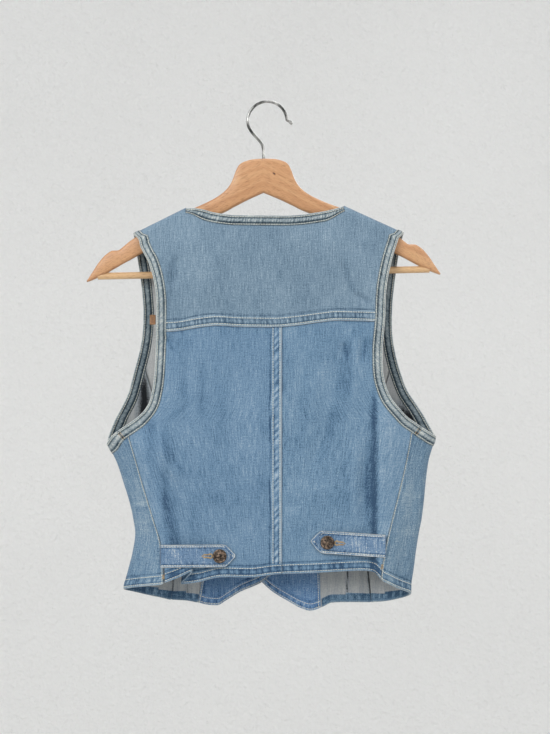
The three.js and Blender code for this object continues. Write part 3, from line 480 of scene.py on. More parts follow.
# Largest folds, straight from a top end to a low end: a crest above 0, a trough below
FOLDS = table(
    "side x_top z_top x_low z_low left right height",
    (BACK, 134.5, -325, 135, -660, 5.5, 28, 9),
    (BACK, -141, -370, -112, -660, 28, 18, 8.5),
    (BACK, -112, -425, -99, -590, 9, 9, -3),
    (BACK, 88, -270, 48, -480, 10, 12, -2.5),
    (FRONT, -78, -320, -70, -660, 17, 17, 3.5),
    (FRONT, 80, -320, 72, -660, 17, 17, 3.5),
    (FRONT, -136, -420, -142, -660, 12, 12, -3),
    (FRONT, 142, -420, 144, -660, 12, 12, -3),
)
FOLD_ENDS = 60.0
# Creases: a path of places (x, z), how high they stand, and how wide they are on either side of it
CREASES = [
    (BACK, [(-129, -400), (-117, -437), (-96, -460)], 1.8, 6, 9),
    (BACK, [(-122, -418), (-119, -470), (-113, -520)], -2.2, 6, 8),
    (BACK, [(-138, -340), (-132, -420), (-126, -500)], -1.6, 9, 5),
    (BACK, [(95, -279), (89, -322), (77, -382), (59, -450)], -1.5, 7, 9),
    (BACK, [(92, -285), (95, -312)], -1.6, 4, 5),
    (BACK, [(116, -279), (114, -316)], -1.7, 4, 5),
    (BACK, [(104, -274), (105, -330), (100, -392)], 1.1, 6, 7),
    (BACK, [(89, -183), (103, -237)], -1.2, 5, 5),
    (BACK, [(103, -229), (128, -243)], -1.3, 4, 4),
    (BACK, [(-106, -180), (-113, -226)], -1.7, 7, 5),
    (BACK, [(-118, -205), (-124, -262)], 1.0, 5, 6),
    (BACK, [(-95, -291), (-95, -394)], -1.0, 6, 6),
    (BACK, [(-73, -297), (-73, -394)], -0.9, 6, 6),
    (BACK, [(-125, -281), (-106, -288)], -1.3, 3.5, 3.5),
    (BACK, [(-122, -279), (-106, -300)], -1.2, 3, 4),
    (BACK, [(-40, -285), (-46, -380), (-42, -470)], -0.7, 10, 9),
    (BACK, [(-14, -300), (-10, -420), (-16, -520)], 0.6, 12, 12),
    (BACK, [(46, -290), (41, -360), (36, -430)], -0.7, 7, 7),
    (BACK, [(106, -400), (104, -450), (101, -520)], 1.0, 8, 12),
    (BACK, [(120, -395), (118, -450), (119, -520)], -2.6, 8, 5),
    (BACK, [(-60, -150), (-66, -210), (-60, -262)], 0.7, 12, 12),
    (BACK, [(30, -160), (34, -215), (28, -258)], -0.6, 10, 12),
    (BACK, [(66, -150), (74, -200)], 0.8, 9, 9),
    (BACK, [(-158, -440), (-152, -500), (-150, -560)], 1.0, 7, 9),
    (BACK, [(176, -420), (168, -480), (164, -550)], 0.9, 9, 8),
    (FRONT, [(-120, -250), (-110, -330), (-118, -400)], -1.4, 9, 12),
    (FRONT, [(118, -240), (108, -320), (114, -395)], -1.3, 11, 9),
    (FRONT, [(-88, -215), (-60, -250), (-44, -262)], 1.2, 9, 9),
    (FRONT, [(92, -210), (66, -252), (48, -268)], 1.1, 8, 9),
    (FRONT, [(-96, -470), (-92, -520), (-98, -580)], -1.3, 8, 8),
    (FRONT, [(-40, -440), (-34, -500), (-38, -560)], 1.0, 10, 9),
    (FRONT, [(44, -455), (38, -510), (42, -575)], 1.1, 9, 10),
    (FRONT, [(104, -480), (110, -530), (104, -585)], -1.2, 8, 8),
    (FRONT, [(-20, -340), (-36, -352), (-52, -350)], -0.9, 4, 5),
    (FRONT, [(18, -420), (34, -432), (50, -428)], -0.9, 5, 4),
]


def ease(t):
    """A smooth step from 0 to 1."""
    t = np.clip(t, 0, 1)
    return t * t * (3 - 2 * t)


def mix(a, b, t):
    return a + (b - a) * t


def side_fold(half, z):
    """Distance of a side fold from the middle plane at a height."""
    return read(SIDE_FOLD, "z", z, SIDE[half])


def ridge(x):
    """Height at which the cloth turns over the arms."""
    return SHOULDER_TOP - SHOULDER_SLOPE * np.abs(x - HANGER_X) + TILT * (x - HANGER_X)


def roundness(edge):
    """Share of its full depth that a folded edge has reached at a distance from the fold."""
    return np.sqrt(np.clip(1 - (1 - np.clip(edge / FOLD_RADIUS, 0, 1)) ** 2, 0, 1))


def filling(edge, reach):
    """Share of its full swell that the cloth has reached at a distance from an edge."""
    return 1 - np.exp(-((np.maximum(0, edge) / reach) ** 1.5))


def fold_height(side, x, z):
    """Height of all folds and creases together at x and z."""
    height = np.zeros(np.broadcast(x, z).shape)
    for face, x_top, z_top, x_low, z_low, left, right, rise in zip(*FOLDS.values()):
        along = (z_top - z) / (z_top - z_low)
        across = x - mix(x_top, x_low, along)
        ends = ease((z_top - z) / FOLD_ENDS) * ease((z - z_low) / FOLD_ENDS)
        crest = rise * ends * bell(across, np.where(across < 0, left, right))
        height += np.where(side == face, crest, 0)
    for face, path, rise, left, right in CREASES:
        height += np.where(side == face, crease(path, CREASE_GAIN * rise, left, right, x, z), 0)
    return height


def crease(path, rise, left, right, x, z):
    """A soft ridge or trough along a path, which runs out at both ends."""
    lengths = [math.dist(a, b) for a, b in zip(path, path[1:])]
    nearest = np.full(np.broadcast(x, z).shape, 1e6)
    share = np.zeros(nearest.shape)
    run = 0.0
    for (ax, az), (bx, bz), length in zip(path, path[1:], lengths):
        dx, dz = (bx - ax) / length, (bz - az) / length
        t = np.clip((x - ax) * dx + (z - az) * dz, 0, length)
        away = np.hypot(x - ax - t * dx, z - az - t * dz)
        signed = np.where((x - ax) * dz - (z - az) * dx < 0, away, -away)
        closer = away < np.abs(nearest)
        nearest = np.where(closer, signed, nearest)
        share = np.where(closer, (run + t) / sum(lengths), share)
        run += length
    width = np.where(nearest < 0, left, right)
    ends = ease(share / 0.35) * ease((1 - share) / 0.35)
    return rise * ends * bell(nearest, width)


def skin(side, x, z, overlap=0.0):
    """Middle of the cloth of the back or front at x and z."""
    from_left = x + side_fold(LEFT, z)
    from_right = side_fold(RIGHT, z) - x
    from_side = np.minimum(from_left, from_right)
    from_ridge = ridge(x) - z
    off = x - HANGER_X
    soft_ridge = from_ridge - SHOULDER_SLOPE * (np.hypot(off, NECK_SOFTNESS) - np.abs(off))
    swell = np.where(side == BACK, SWELL[BACK], SWELL[FRONT]) * filling(soft_ridge, RIDGE_REACH)
    swell = swell * filling(from_left, SIDE_REACH) * filling(from_right, SIDE_REACH)
    rounded = FOLD_RADIUS * roundness(from_side) * roundness(from_ridge)
    folds = fold_height(side, x, z) * ease(from_side / FOLD_INSET)
    middle = bow(x) * ease((z - BOW_LOW) / BOW_RISE)
    shift = overlap * (1 - ease((np.abs(x - CENTRE_FRONT) - OVERLAP_FLAT) / OVERLAP_FADE))
    y = middle + side * (rounded + swell + folds) + shift
    return np.stack(np.broadcast_arrays(x, y, z), -1)


def arc_of(edge):
    """Way along the cloth from the middle of a fold to a distance from its edge."""
    inside = FOLD_RADIUS * np.arccos(np.clip(1 - np.maximum(0, edge) / FOLD_RADIUS, -1, 1))
    return np.where(edge < FOLD_RADIUS, inside, edge - FOLD_RADIUS + FOLD_ARC)


def edge_of(arc):
    """Distance from a fold's edge at a way along the cloth: the reverse of arc_of."""
    inside = FOLD_RADIUS * (1 - np.cos(arc / FOLD_RADIUS))
    return np.where(arc < FOLD_ARC, inside, arc - FOLD_ARC + FOLD_RADIUS)


def wrap(half, q, z):
    """Cloth round a side fold: q is the way along it, below 0 on the back and above 0 on the front."""
    x = half * (side_fold(half, z) - edge_of(np.abs(q)))
    return skin(np.where(q < 0, BACK, FRONT), x, z)


def armhole_outline(half):
    """Ways along and heights of the armhole's outline, from the ridge down the back and up the front."""
    z_name, x_name = "z_" + SIDE[half], "x_" + SIDE[half]
    back = list(zip(ARMHOLE_BACK[z_name], ARMHOLE_BACK[x_name]))
    front = list(zip(ARMHOLE_FRONT[z_name], ARMHOLE_FRONT[x_name]))
    top = back[0]

    def place(side, z, x):
        return side * float(arc_of(side_fold(half, z) - x)), z

    def near_top(side, following):
        found = []
        for degrees in (20, 45, 70, 90):
            drop = FOLD_RADIUS * (1 - math.cos(math.radians(degrees)))
            x = mix(top[1], following[1], drop / (top[0] - following[0]))
            found.append((place(side, top[0] - drop, x)[0], float(ridge(half * x)) - drop))
        return found

    start = place(BACK, *top)[0]
    start_z = float(ridge(half * top[1]))
    down = [place(BACK, z, x) for z, x in back[1:]]
    up = [place(FRONT, z, x) for z, x in reversed(front)]
    low = table("q z", down[-1], (0, UNDERARM_LOW[half]), up[0])
    under = [(q, float(read(low, "q", q, "z"))) for q in np.linspace(-FOLD_ARC, FOLD_ARC, 9)]
    nodes = [(start, start_z), *near_top(BACK, back[1]), *down, *under, *up]
    nodes += [*near_top(FRONT, front[0])[::-1], (-start, start_z)]
    line = smooth_line(nodes, 0.5)
    run = run_of(wrap(half, line[:, 0], np.minimum(line[:, 1], start_z)))
    at = np.linspace(0, run[-1], int(run[-1] / 2.0))
    return np.stack([np.interp(at, run, line[:, 0]), np.interp(at, run, line[:, 1])], -1)


def armhole_line(half, inside):
    """The outline moved into the cloth, as ways along, heights and places."""
    line = OUTLINE[half]
    ahead = unit(np.gradient(line, axis=0))
    q = line[:, 0] + inside * ahead[:, 1]
    z = line[:, 1] - inside * ahead[:, 0]
    drop = np.maximum(0, ridge(wrap(half, *line.T)[:, 0]) - line[:, 1])
    x = half * (side_fold(half, z) - edge_of(np.abs(q)))
    z = np.minimum(z, ridge(x) - drop)
    return q, z, wrap(half, q, z)


OUTLINE = {half: armhole_outline(half) for half in (LEFT, RIGHT)}
CLOTH_EDGE = {half: armhole_line(half, BAND_EDGE) for half in (LEFT, RIGHT)}


def armhole_x(half, side, z):
    """Distance from the middle plane of the cloth's armhole edge at a height."""
    q, height, at = CLOTH_EDGE[half]
    one = (np.sign(q) == side) & (np.abs(q) > 1)
    order = np.argsort(height[one])
    return np.interp(z, height[one][order], np.abs(at[one, 0])[order])


def armhole_z(half, q):
    """Height of the cloth's edge at the underarm."""
    along, height, _ = CLOTH_EDGE[half]
    low = (np.abs(along) < 62) & (height < -280)
    order = np.argsort(along[low])
    return np.interp(q, along[low][order], height[low][order])


def seam_end(half, side, seam):
    """Height at which a seam runs out into the armhole."""
    z = float(seam["z"][-1])
    for _ in range(60):
        q = side * arc_of(side_fold(half, z) - read(seam, "z", z, SIDE[half]))
        z = mix(z, float(armhole_z(half, q)), 0.4)
    return z


def steps(start, end, size):
    """Even steps of about a size from start to end."""
    return np.linspace(start, end, max(1, int(round(abs(end - start) / size))) + 1)


def over_ridge(height, size):
    """Shares of a height, close together where the cloth turns over the shoulder ridge."""
    drops = FOLD_RADIUS * (1 - np.cos(np.radians(np.arange(90, -1, -9))))
    return np.r_[steps(0, 1 - FOLD_RADIUS / height, size / height)[:-1], 1 - drops / height]


def facing_out(at, outward):
    """The way that each place of a grid faces."""
    return outward * unit(np.cross(np.gradient(at, axis=0), np.gradient(at, axis=1)))


def ripple(run, pitch, seed):
    """An uneven wave between -1 and 1, as cloth puckers between two rows of stitches."""
    t = 2 * np.pi * run / pitch
    bend = 1.1 * np.sin(t / 3.7 + seed) + 0.7 * np.sin(t / 1.9 + 2.3 * seed)
    return np.sin(t + bend) * (0.72 + 0.28 * np.sin(t / 5.3 + seed))


def felled(across, along, width, pitch, seed, slant=0.25):
    """Height and fading of a band that is stitched at both edges, with painted shade beside its rows and a
    painted shadow just beyond its far edge. across runs from its folded edge.
    """
    beside = ROW + 1.3
    between = np.sin(np.pi * np.clip((across - ROW) / (width - 2 * ROW), 0, 1))
    wave = ripple(along + slant * across, pitch, seed)
    inside = ease((across + 0.6) / 0.6) * ease((width + 0.6 - across) / 0.6)
    # Darker lines beside the rows of stitches: partly less faded cloth, partly painted shade.
    rows = sum(bell(across - at, 0.7) for at in (beside, width - beside))
    edges = 1.1 * bell(across, 0.8) + 0.45 * bell(across - width, 0.7)
    # A painted shadow just beyond the band's far edge.
    shadow = 0.9 * bell(across - width - 1.5, 0.8)
    fade_and_shade = inside * (0.06 + 0.75 * between * wave - 0.75 * rows + edges) - shadow
    return PUCKER * between * wave * inside, fade_and_shade


def fade_and_shade_marks(x, z, fade_and_shade, **more):
    """Marks of a mesh: where each place lies in the cut of its cloth, and how faded it is together with
    painted shade.
    """
    return {"cut": np.stack([x, z, 0 * z], -1), "fade_and_shade": fade_and_shade, **more}


def cloth(name, at, out, outer, inner, finishes, slot, replaced, marks, turned=None):
    """A sheet of cloth on a grid of places, whose faces lie outer and inner from it."""
    above = at + out * np.broadcast_to(outer, at.shape[:2])[..., None]
    below = at - out * np.broadcast_to(inner, at.shape[:2])[..., None]
    sheet(shell(name, above, below, finishes, slot, replaced, marks, turned), above, below)


def sheet(body, above, below):
    """Works out the width, length and area of a sheet of cloth when it is laid flat."""
    grid = (above + below) / 2 * MM
    width = np.linalg.norm(np.diff(grid, axis=0), axis=-1).sum(0).max()
    length = np.linalg.norm(np.diff(grid, axis=1), axis=-1).sum(1).max()
    diagonals = grid[1:, 1:] - grid[:-1, :-1], grid[1:, :-1] - grid[:-1, 1:]
    area = np.linalg.norm(np.cross(*diagonals), axis=-1).sum() / 2
    area = float(np.clip(area, LEAST_AREA * width * length, width * length))


def shell(name, above, below, finishes, slot, replaced, marks, turned=None):
    """A closed sheet between two grids of places, with a rounded edge all round."""
    rows, columns = above.shape[:2]
    count = rows * columns
    index = np.arange(count).reshape(rows, columns)
    quads = np.stack([index[:-1, :-1], index[1:, :-1], index[1:, 1:], index[:-1, 1:]], -1).reshape(-1, 4)
    rim = np.concatenate([index[:-1, 0], index[-1, :-1], index[:0:-1, -1], index[0, :0:-1]])
    inward = np.concatenate([index[:-1, 1], index[-2, :-1], index[:0:-1, -2], index[1, :0:-1]])
    middle = (above + below).reshape(-1, 3) / 2
    away = unit(middle[rim] - middle[inward])
    thick = np.linalg.norm(above - below, axis=-1).reshape(-1)[rim][:, None]
    points = np.concatenate([above.reshape(-1, 3), below.reshape(-1, 3), middle[rim] + away * thick * RIM])
    ring = 2 * count + np.arange(len(rim))
    after, ring_after = np.roll(rim, -1), np.roll(ring, -1)
    upper = np.stack([after, ring_after, ring, rim], -1)
    lower = np.stack([ring_after, after + count, rim + count, ring], -1)
    faces = np.concatenate([quads, quads[:, ::-1] + count, upper, lower])
    centre = points[quads].mean(1)
    a, b, c, d = (points[corner] for corner in quads.T)
    turn = np.cross(c - a, d - b)
    if ((centre - points[quads + count].mean(1)) * turn).sum() < 0:
        faces = faces[:, ::-1]
    wrong_side = np.r_[np.zeros(len(quads)), np.ones(len(quads)), np.zeros(2 * len(rim))]
    if turned is not None:
        wrong_side[len(quads) : 2 * len(quads)] = ~turned.reshape(-1)[quads].all(1)
    spread = {}
    for mark, values in marks.items():
        flat = values.reshape(count, -1) if values.ndim > 2 else values.reshape(count)
        spread[mark] = np.concatenate([flat, flat, flat[rim]])
    return piece(name, points, faces.tolist(), finishes, slot, replaced, spread, wrong_side)


def sew(name, rows, thread, size=THREAD, pitch=STITCH):
    """Rows of stitches as one mesh. A row is a line of places and the way that the cloth faces there."""
    place = STITCHES["place"][:, None]
    girth = STITCHES["girth"][:, None, None] * size
    sink = STITCHES["sink"][:, None] * size
    turn = circle(6)[:, None]
    index = np.arange(place.size * turn.size).reshape(place.size, turn.size)
    around = np.roll(index, -1, axis=1)
    quads = np.stack([index[:-1], index[1:], around[1:], around[:-1]], -1).reshape(-1, 4)
    points, faces, count = [], [], 0
    for line, out in rows:
        run = run_of(line)
        number = max(1, int(run[-1] / pitch))
        at = (np.arange(number) + 0.5) * run[-1] / number
        centre, further, nearer = (
            np.stack([np.interp(at + shift, run, column) for column in line.T], -1)
            for shift in (0, 0.4, -0.4)
        )
        ahead = unit(further - nearer)
        up = np.stack([np.interp(at, run, column) for column in out.T], -1)
        up = unit(up - ahead * (up * ahead).sum(1, keepdims=True))
        side = np.cross(ahead, up)
        length = 0.97 * min(pitch, run[-1] / number)
        axis = centre[:, None] + ahead[:, None] * (place * length) + up[:, None] * sink
        hoop = up[:, None] * np.sin(turn) + side[:, None] * np.cos(turn)
        points.append((axis[:, :, None] + hoop[:, None] * girth).reshape(-1, 3))
        for start in count + np.arange(number) * index.size:
            faces.extend((quads + start).tolist())
            faces.extend([(index[0] + start).tolist(), (index[-1, ::-1] + start).tolist()])
        count += number * index.size
    return piece(name, np.concatenate(points), faces, [thread], "denim")


def denim(name, deep, middle, pale, chalk, streaks=1.0, mark="fade_and_shade"):
    """Washed twill: a dark warp that has faded most along the threads and where it stands proud. Its mark
    darkens it with painted shade as well.
    """
    made, shader = finish(name, {"Roughness": 0.93, "Specular IOR Level": 0.18, "Sheen Weight": 0.1})
    cut = node(made, "Attribute", pick="Vector", attribute_name="cut")
    fade_and_shade = node(made, "Attribute", pick="Fac", attribute_name=mark)
    warp = grain(made, cut, (0.85, 0.06, 0.0), 2)
    weft = grain(made, cut, (0.09, 0.9, 0.0), 2)
    fleck = grain(made, cut, (1.0, 0.6, 0.0), 1)
    cloud = grain(made, cut, (0.03, 0.016, 0.0), 3)
    twill = node(made, "TexWave", {"Vector": cut, "Scale": 0.42, "Distortion": 1.2, "Detail": 1.0},
                 bands_direction="DIAGONAL")
    tone = add_share(made, warp, streaks, -0.5 * streaks)
    for layer, share in ((weft, 0.45), (fleck, 1.0), (cloud, 0.5)):
        tone = add_share(made, layer, share * streaks, tone)
    for layer, share in ((twill, 0.06), (fade_and_shade, 0.4)):
        tone = add_share(made, layer, share, tone)
    tone = add_share(made, tone, 1.0, 0.42 - streaks)
    colour = ramp(made, tone, [(0.02, *deep), (0.33, *middle), (0.62, *pale), (0.98, *chalk)])
    height = add_share(made, twill, 0.5, add_share(made, fleck, 0.8, warp))
    wear_into(made, shader, colour, height, 0.16)
    return made


def sewing_thread(name, light, dark):
    stops = [(0.3, *dark), (0.62, *light)]
    values = {"Roughness": 0.7, "Sheen Weight": 0.2}
    return mottled(name, values, (260, 260, 260), 2, stops, (2400, 2400, 2400), 0.05)


LEAST_AREA = 0.31  # of a sheet's flat box
# A stitch: shares of its length, how thick it is there, and how high its middle lies
STITCHES = table(
    "place girth sink",
    (-0.5, 0.25, -0.75),
    (-0.36, 0.85, -0.1),
    (0, 1, 0.25),
    (0.36, 0.85, -0.1),
    (0.5, 0.25, -0.75),
)
YOKE_DENIM = denim("yoke_denim", (58, 80, 100), (99, 121, 139), (122, 143, 159), (172, 184, 190), 0.8)
# Its near-black end shows where painted shade darkens the inner side.
WRONG_SIDE = denim(
    "wrong_side", (30, 32, 36), (140, 147, 152), (168, 171, 172), (216, 216, 213), 0.5, "inside"
)
OFF_WHITE = sewing_thread("off_white_thread", (214, 213, 200), (176, 177, 166))


def yoke_seam(x):
    return read(YOKE_SEAM, "x", x, "z")


def yoke_end(half):
    return half * float(armhole_x(half, BACK, yoke_seam(half * 136.0)))


NECK_END = {LEFT: NECK["x"][0], RIGHT: NECK["x"][-1]}
NECK_SHARE = {LEFT: 0.205, RIGHT: 0.8}  # shares of the yoke's width between which its neck edge lies
YOKE_STEP = 0.0062


def wear_and_fold_shade(x, z, side=BACK):
    """Fading of the cloth where folds stand proud, and painted shade: darker in hollows and on the inner
    flanks of folds.
    """
    spread = 1.2
    height = fold_height(side, x, z)
    left, right = fold_height(side, x - spread, z), fold_height(side, x + spread, z)
    crest = np.clip(height - (left + right) / 2, -0.15, 0.15)
    # Painted shade: the flank of each fold that faces the middle is darkened.
    inner = np.clip(np.sign(x) * (right - left) / (2 * spread), -0.12, 1.0)
    return 0.02 * np.clip(height, -4, 6) + 1.5 * crest - 1.0 * inner


def yoke_surface(u, v):
    """Middle of the yoke: u runs from its left edge to its right one, v from its seam up."""
    start, end = NECK_SHARE[LEFT], NECK_SHARE[RIGHT]
    shoulder = {half: CLOTH_EDGE[half][2][0, 0] for half in (LEFT, RIGHT)}
    left_top = mix(shoulder[LEFT], NECK_END[LEFT], u / start)
    right_top = mix(shoulder[RIGHT], NECK_END[RIGHT], (1 - u) / (1 - end))
    over = (u - start) / (end - start)
    on_neck = (over > 0) & (over < 1)
    neck_x = mix(NECK_END[LEFT], NECK_END[RIGHT], over)
    top_x = np.where(on_neck, neck_x, np.where(u < 0.5, left_top, right_top))
    neck_z = read(NECK, "x", top_x, "z") - BAND_EDGE
    top_z = np.where(on_neck, np.minimum(ridge(top_x), neck_z), ridge(top_x))
    low_x = mix(yoke_end(LEFT), yoke_end(RIGHT), u)
    z = mix(yoke_seam(low_x), top_z, v)
    x = mix(low_x, top_x, v)
    for half, near in ((LEFT, (1 - u) ** 3), (RIGHT, u**3)):
        x = x + near * (half * armhole_x(half, BACK, z) - mix(yoke_end(half), shoulder[half], v))
    return skin(BACK, x, np.minimum(z, ridge(x)))


def yoke():
    knots = [0, NECK_SHARE[LEFT], NECK_SHARE[RIGHT], 1]
    spans = [steps(start, end, YOKE_STEP)[1:] for start, end in zip(knots, knots[1:])]
    across = np.concatenate([[0], *spans])
    u, v = np.meshgrid(across, over_ridge(130, 1.6), indexing="ij")
    at = yoke_surface(u, v)
    x, z = at[..., 0], at[..., 2]
    above = z - yoke_seam(x)
    from_left, from_right = x - yoke_end(LEFT), yoke_end(RIGHT) - x
    clear = ease((from_left - 9) / 4) * ease((from_right - 9) / 4)
    pucker, fade_and_shade = felled(above, x, LAP_WIDTH, 5.2, 0.7)
    lap = 1 - ease((above - LAP_WIDTH + 0.3) / 0.9)
    fade_and_shade = 1.3 * fade_and_shade + wear_and_fold_shade(x, z) + 0.12 * ripple(x, 23, 2.0) * np.exp(-above / 40) - 0.15 * lap
    fade_and_shade += 0.7 * lap * bell(from_right, 16) + 0.4 * lap * bell(from_left, 14)
    cloth("yoke", at, facing_out(at, 1), HALF + clear * lap * LAP_RISE + pucker, HALF,
          [YOKE_DENIM, WRONG_SIDE], "denim", ["back_yoke"], fade_and_shade_marks(x, z, fade_and_shade))
    inner = np.linspace(yoke_end(LEFT) + 10, yoke_end(RIGHT) - 10, 200)
    rows = [on_skin(inner, yoke_seam(inner) + rise, HALF + LAP_RISE) for rise in (ROW, LAP_WIDTH - ROW)]
    sew("yoke_stitching", rows, OFF_WHITE)


def on_skin(x, z, lift, side=BACK, overlap=0.0):
    """Places and facings on the skin at x and z."""
    small = 0.3
    du = skin(side, x + small, z, overlap) - skin(side, x - small, z, overlap)
    dv = skin(side, x, z + small, overlap) - skin(side, x, z - small, overlap)
    out = unit(np.cross(du, dv) * -side)
    return skin(side, x, z, overlap) + out * lift, out


yoke()


# Back panels
# Two panels meet in a felled centre back seam, left over right, with two rows of stitches. The hem is
# turned up once and stitched twice, and below the left tab it has been pressed into a flat fold.
SIDE_SEAM = table(
    "z left right",
    (-576, 122, 136),
    (-557, 122, 138),
    (-530, 125, 142.5),
    (-499, 134, 150),
    (-464, 145, 159),
    (-426, 156, 168),
    (-380, 170, 176),
)
BACK_HEM = table(
    "x z",
    (-124, -575.5),
    (-100, -573.5),
    (-78, -572),
    (-51, -568),
    (-20, -568.5),
    (12, -565),
    (60, -563),
    (116, -560.5),
    (129, -562),
    (137, -570),
)
HEM_PINCH = table(
    "x dx dy dz",
    (-124, 0, 0, 0),
    (-112, 7, -0.5, 6),
    (-101.5, 13, -1, 12),
    (-95, 1, 2.8, 4),
    (-88.5, -12.3, 6.5, -4.5),
    (-76, -6, 5, -3.2),
    (-58, -1.5, 1.5, -0.5),
    (-45, 0, 0, 0),
)
PINCH_HEIGHT = 26.0
HEM_WIDTH = 12.0
HEM_RISE = 1.0
HEM_ROWS = (ROW, HEM_WIDTH - 1.8)
BUTT = 0.25  # panels that are only edge-stitched stop this far from their seam line
BACK_WIDTH = {LEFT: 138.0, RIGHT: 120.0}


def back_frame(half):
    """Heights of the side seam's two ends and of the yoke seam's end."""
    low = float(read(BACK_HEM, "x", half * 137.0, "z"))
    corner = seam_end(half, BACK, SIDE_SEAM)
    top = float(yoke_seam(yoke_end(half))) - BUTT
    return low, corner, top


def side_seam_x(half, z):
    """Distance of a side seam from the middle plane."""
    return read(SIDE_SEAM, "z", z, SIDE[half])


def outer_x(half, z, corner):
    """Outer edge of a back panel: the side seam, and above its corner the armhole."""
    seam = side_seam_x(half, z) - BUTT
    at_armhole = np.minimum(armhole_x(half, BACK, z), float(side_seam_x(half, corner)) - BUTT)
    return half * np.where(z < corner, seam, at_armhole)


def back_surface(half, u, v):
    """Middle of a back panel, and the x and z of its hem below each place."""
    low, corner, top = back_frame(half)
    inner = CENTRE_BACK + (0 if half == LEFT else BUTT)
    x = mix(outer_x(half, mix(low, top, v), corner), inner, u)
    hem_x = mix(outer_x(half, low, corner), inner, u)
    top_x = mix(outer_x(half, top, corner), inner, u)
    hem_z = np.where(u < 1e-9, low, read(BACK_HEM, "x", hem_x, "z"))
    z = mix(hem_z, yoke_seam(top_x) - BUTT, v)
    at = skin(BACK, x, z)
    if half == LEFT:
        gone = bell(z - hem_z, PINCH_HEIGHT)
        at = at + np.stack([gone * read(HEM_PINCH, "x", hem_x, way) for way in ("dx", "dy", "dz")], -1)
    return at, hem_x, hem_z, z


def turned_hem(above_hem):
    """Thickness of the cloth's inner side, which is doubled where the hem is turned up."""
    return HALF + HEM_RISE * (1 - ease((above_hem - HEM_WIDTH) / 0.9))


def back_panel(half):
    u, v = np.meshgrid(steps(0, 1, GRID / BACK_WIDTH[half]), steps(0, 1, GRID / 305), indexing="ij")
    at, hem_x, hem_z, z = back_surface(half, u, v)
    out = facing_out(at, -half)
    x = at[..., 0]
    above_hem = z - hem_z
    below_yoke = yoke_seam(x) - z
    pucker, fade_and_shade = felled(above_hem, hem_x, HEM_WIDTH, 8.6, 1.9 + half)
    fade_and_shade += wear_and_fold_shade(x, z) - 0.4 * (1 - ease((above_hem - HEM_WIDTH) / 1.5))
    # Below the yoke: an uneven pucker, and a dark line just under the yoke's lapped edge that is a painted
    # shadow.
    fade_and_shade += 0.1 * ripple(x, 6.2, 0.7) * np.exp(-below_yoke / 5) - 0.9 * bell(below_yoke, 1.5)
    outer = HALF + pucker
    from_seam = CENTRE_BACK - x
    if half == LEFT:
        lap_pucker, lap_fade_and_shade = felled(from_seam, z, LAP_WIDTH, 9.4, 0.3, slant=1.1)
        clear = ease((above_hem - HEM_WIDTH) / 2)
        lap = 1 - ease((from_seam - LAP_WIDTH + 0.3) / 0.9)
        outer = outer + LAP_RISE * lap * ease(above_hem / 1.5) + lap_pucker * clear
        worn_lap = 0.25 * (np.abs(from_seam - LAP_WIDTH / 2) < LAP_WIDTH / 2)
        fade_and_shade += (1.4 * lap_fade_and_shade + worn_lap) * (0.35 + 0.65 * clear)
    else:
        # Painted shadow: a dark line where the left panel's lap lies over the right one.
        fade_and_shade -= bell(from_seam + 0.8, 1.0)
    cloth(f"back_{SIDE[half]}", at, out, outer, turned_hem(above_hem), [BACK_DENIM[half], WRONG_SIDE],
          "denim", [f"back_panel_{SIDE[half]}"], fade_and_shade_marks(hem_x, z, fade_and_shade), above_hem < HEM_WIDTH - 1)
    rows = hem_rows(at + out * outer[..., None], out, above_hem, HEM_ROWS)
    if half == LEFT:
        lap_x = CENTRE_BACK - 3.5
        low, high = float(read(BACK_HEM, "x", lap_x, "z")), float(yoke_seam(lap_x))
        z = np.linspace(low + HEM_WIDTH, high - 1, 250)
        insets = (ROW, LAP_WIDTH - ROW)
        rows += [on_skin(CENTRE_BACK - inset + 0 * z, z, HALF + LAP_RISE) for inset in insets]
    sew(f"back_{SIDE[half]}_stitching", rows, OFF_WHITE)


def hem_rows(places, out, above_hem, rises):
    """Rows of stitches at some heights above a hem."""
    return [across_grid(places, out, above_hem, rise) for rise in rises]


def across_grid(places, out, height, level):
    """The line on which a value of a grid, rising along each column, reaches a level."""
    i = np.maximum(np.argmax(height >= level, axis=1), 1)
    pick = np.arange(len(height))
    low, high = height[pick, i - 1], height[pick, i]
    t = ((level - low) / (high - low))[:, None]
    return mix(places[pick, i - 1], places[pick, i], t), mix(out[pick, i - 1], out[pick, i], t)


BACK_DENIM = {
    LEFT: denim("back_left_denim", (48, 74, 102), (90, 119, 145), (115, 141, 164), (166, 180, 191), 0.8),
    RIGHT: denim("back_right_denim", (50, 76, 103), (92, 121, 146), (117, 143, 165), (168, 182, 192), 0.85),
}
for half in (LEFT, RIGHT):
    back_panel(half)


# Side panels
# Each runs from the side seam on the back, round the side fold, to the princess seam on the front. A
# single row of stitches holds its seam allowance down, and its hem is turned up like the back's.
PRINCESS_SEAM = table(
    "z left right",
    (-603, 115, 128),
    (-560, 112, 124),
    (-500, 112, 121),
    (-430, 119, 125),
    (-370, 133, 137),
    (-300, 154, 158),
)
SIDE_HEM = {
    LEFT: table(
        "q z", (-60, -576), (-48, -577), (-20, -581), (0, -585), (24, -591), (56, -598.5), (62, -600)
    ),
    RIGHT: table(
        "q z", (-50, -570), (-43, -572), (-20, -583), (0, -591), (16, -597), (34, -601), (52, -603)
    ),
}
FRONT_LOW = {LEFT: -600.0, RIGHT: -603.0}
SIDE_START = 0.4  # shares of a side panel's width between which it turns round the side fold
SIDE_END = 0.6
CORNER_SHARE = 0.04  # its corners are drawn to the seams' ends over this share of its width


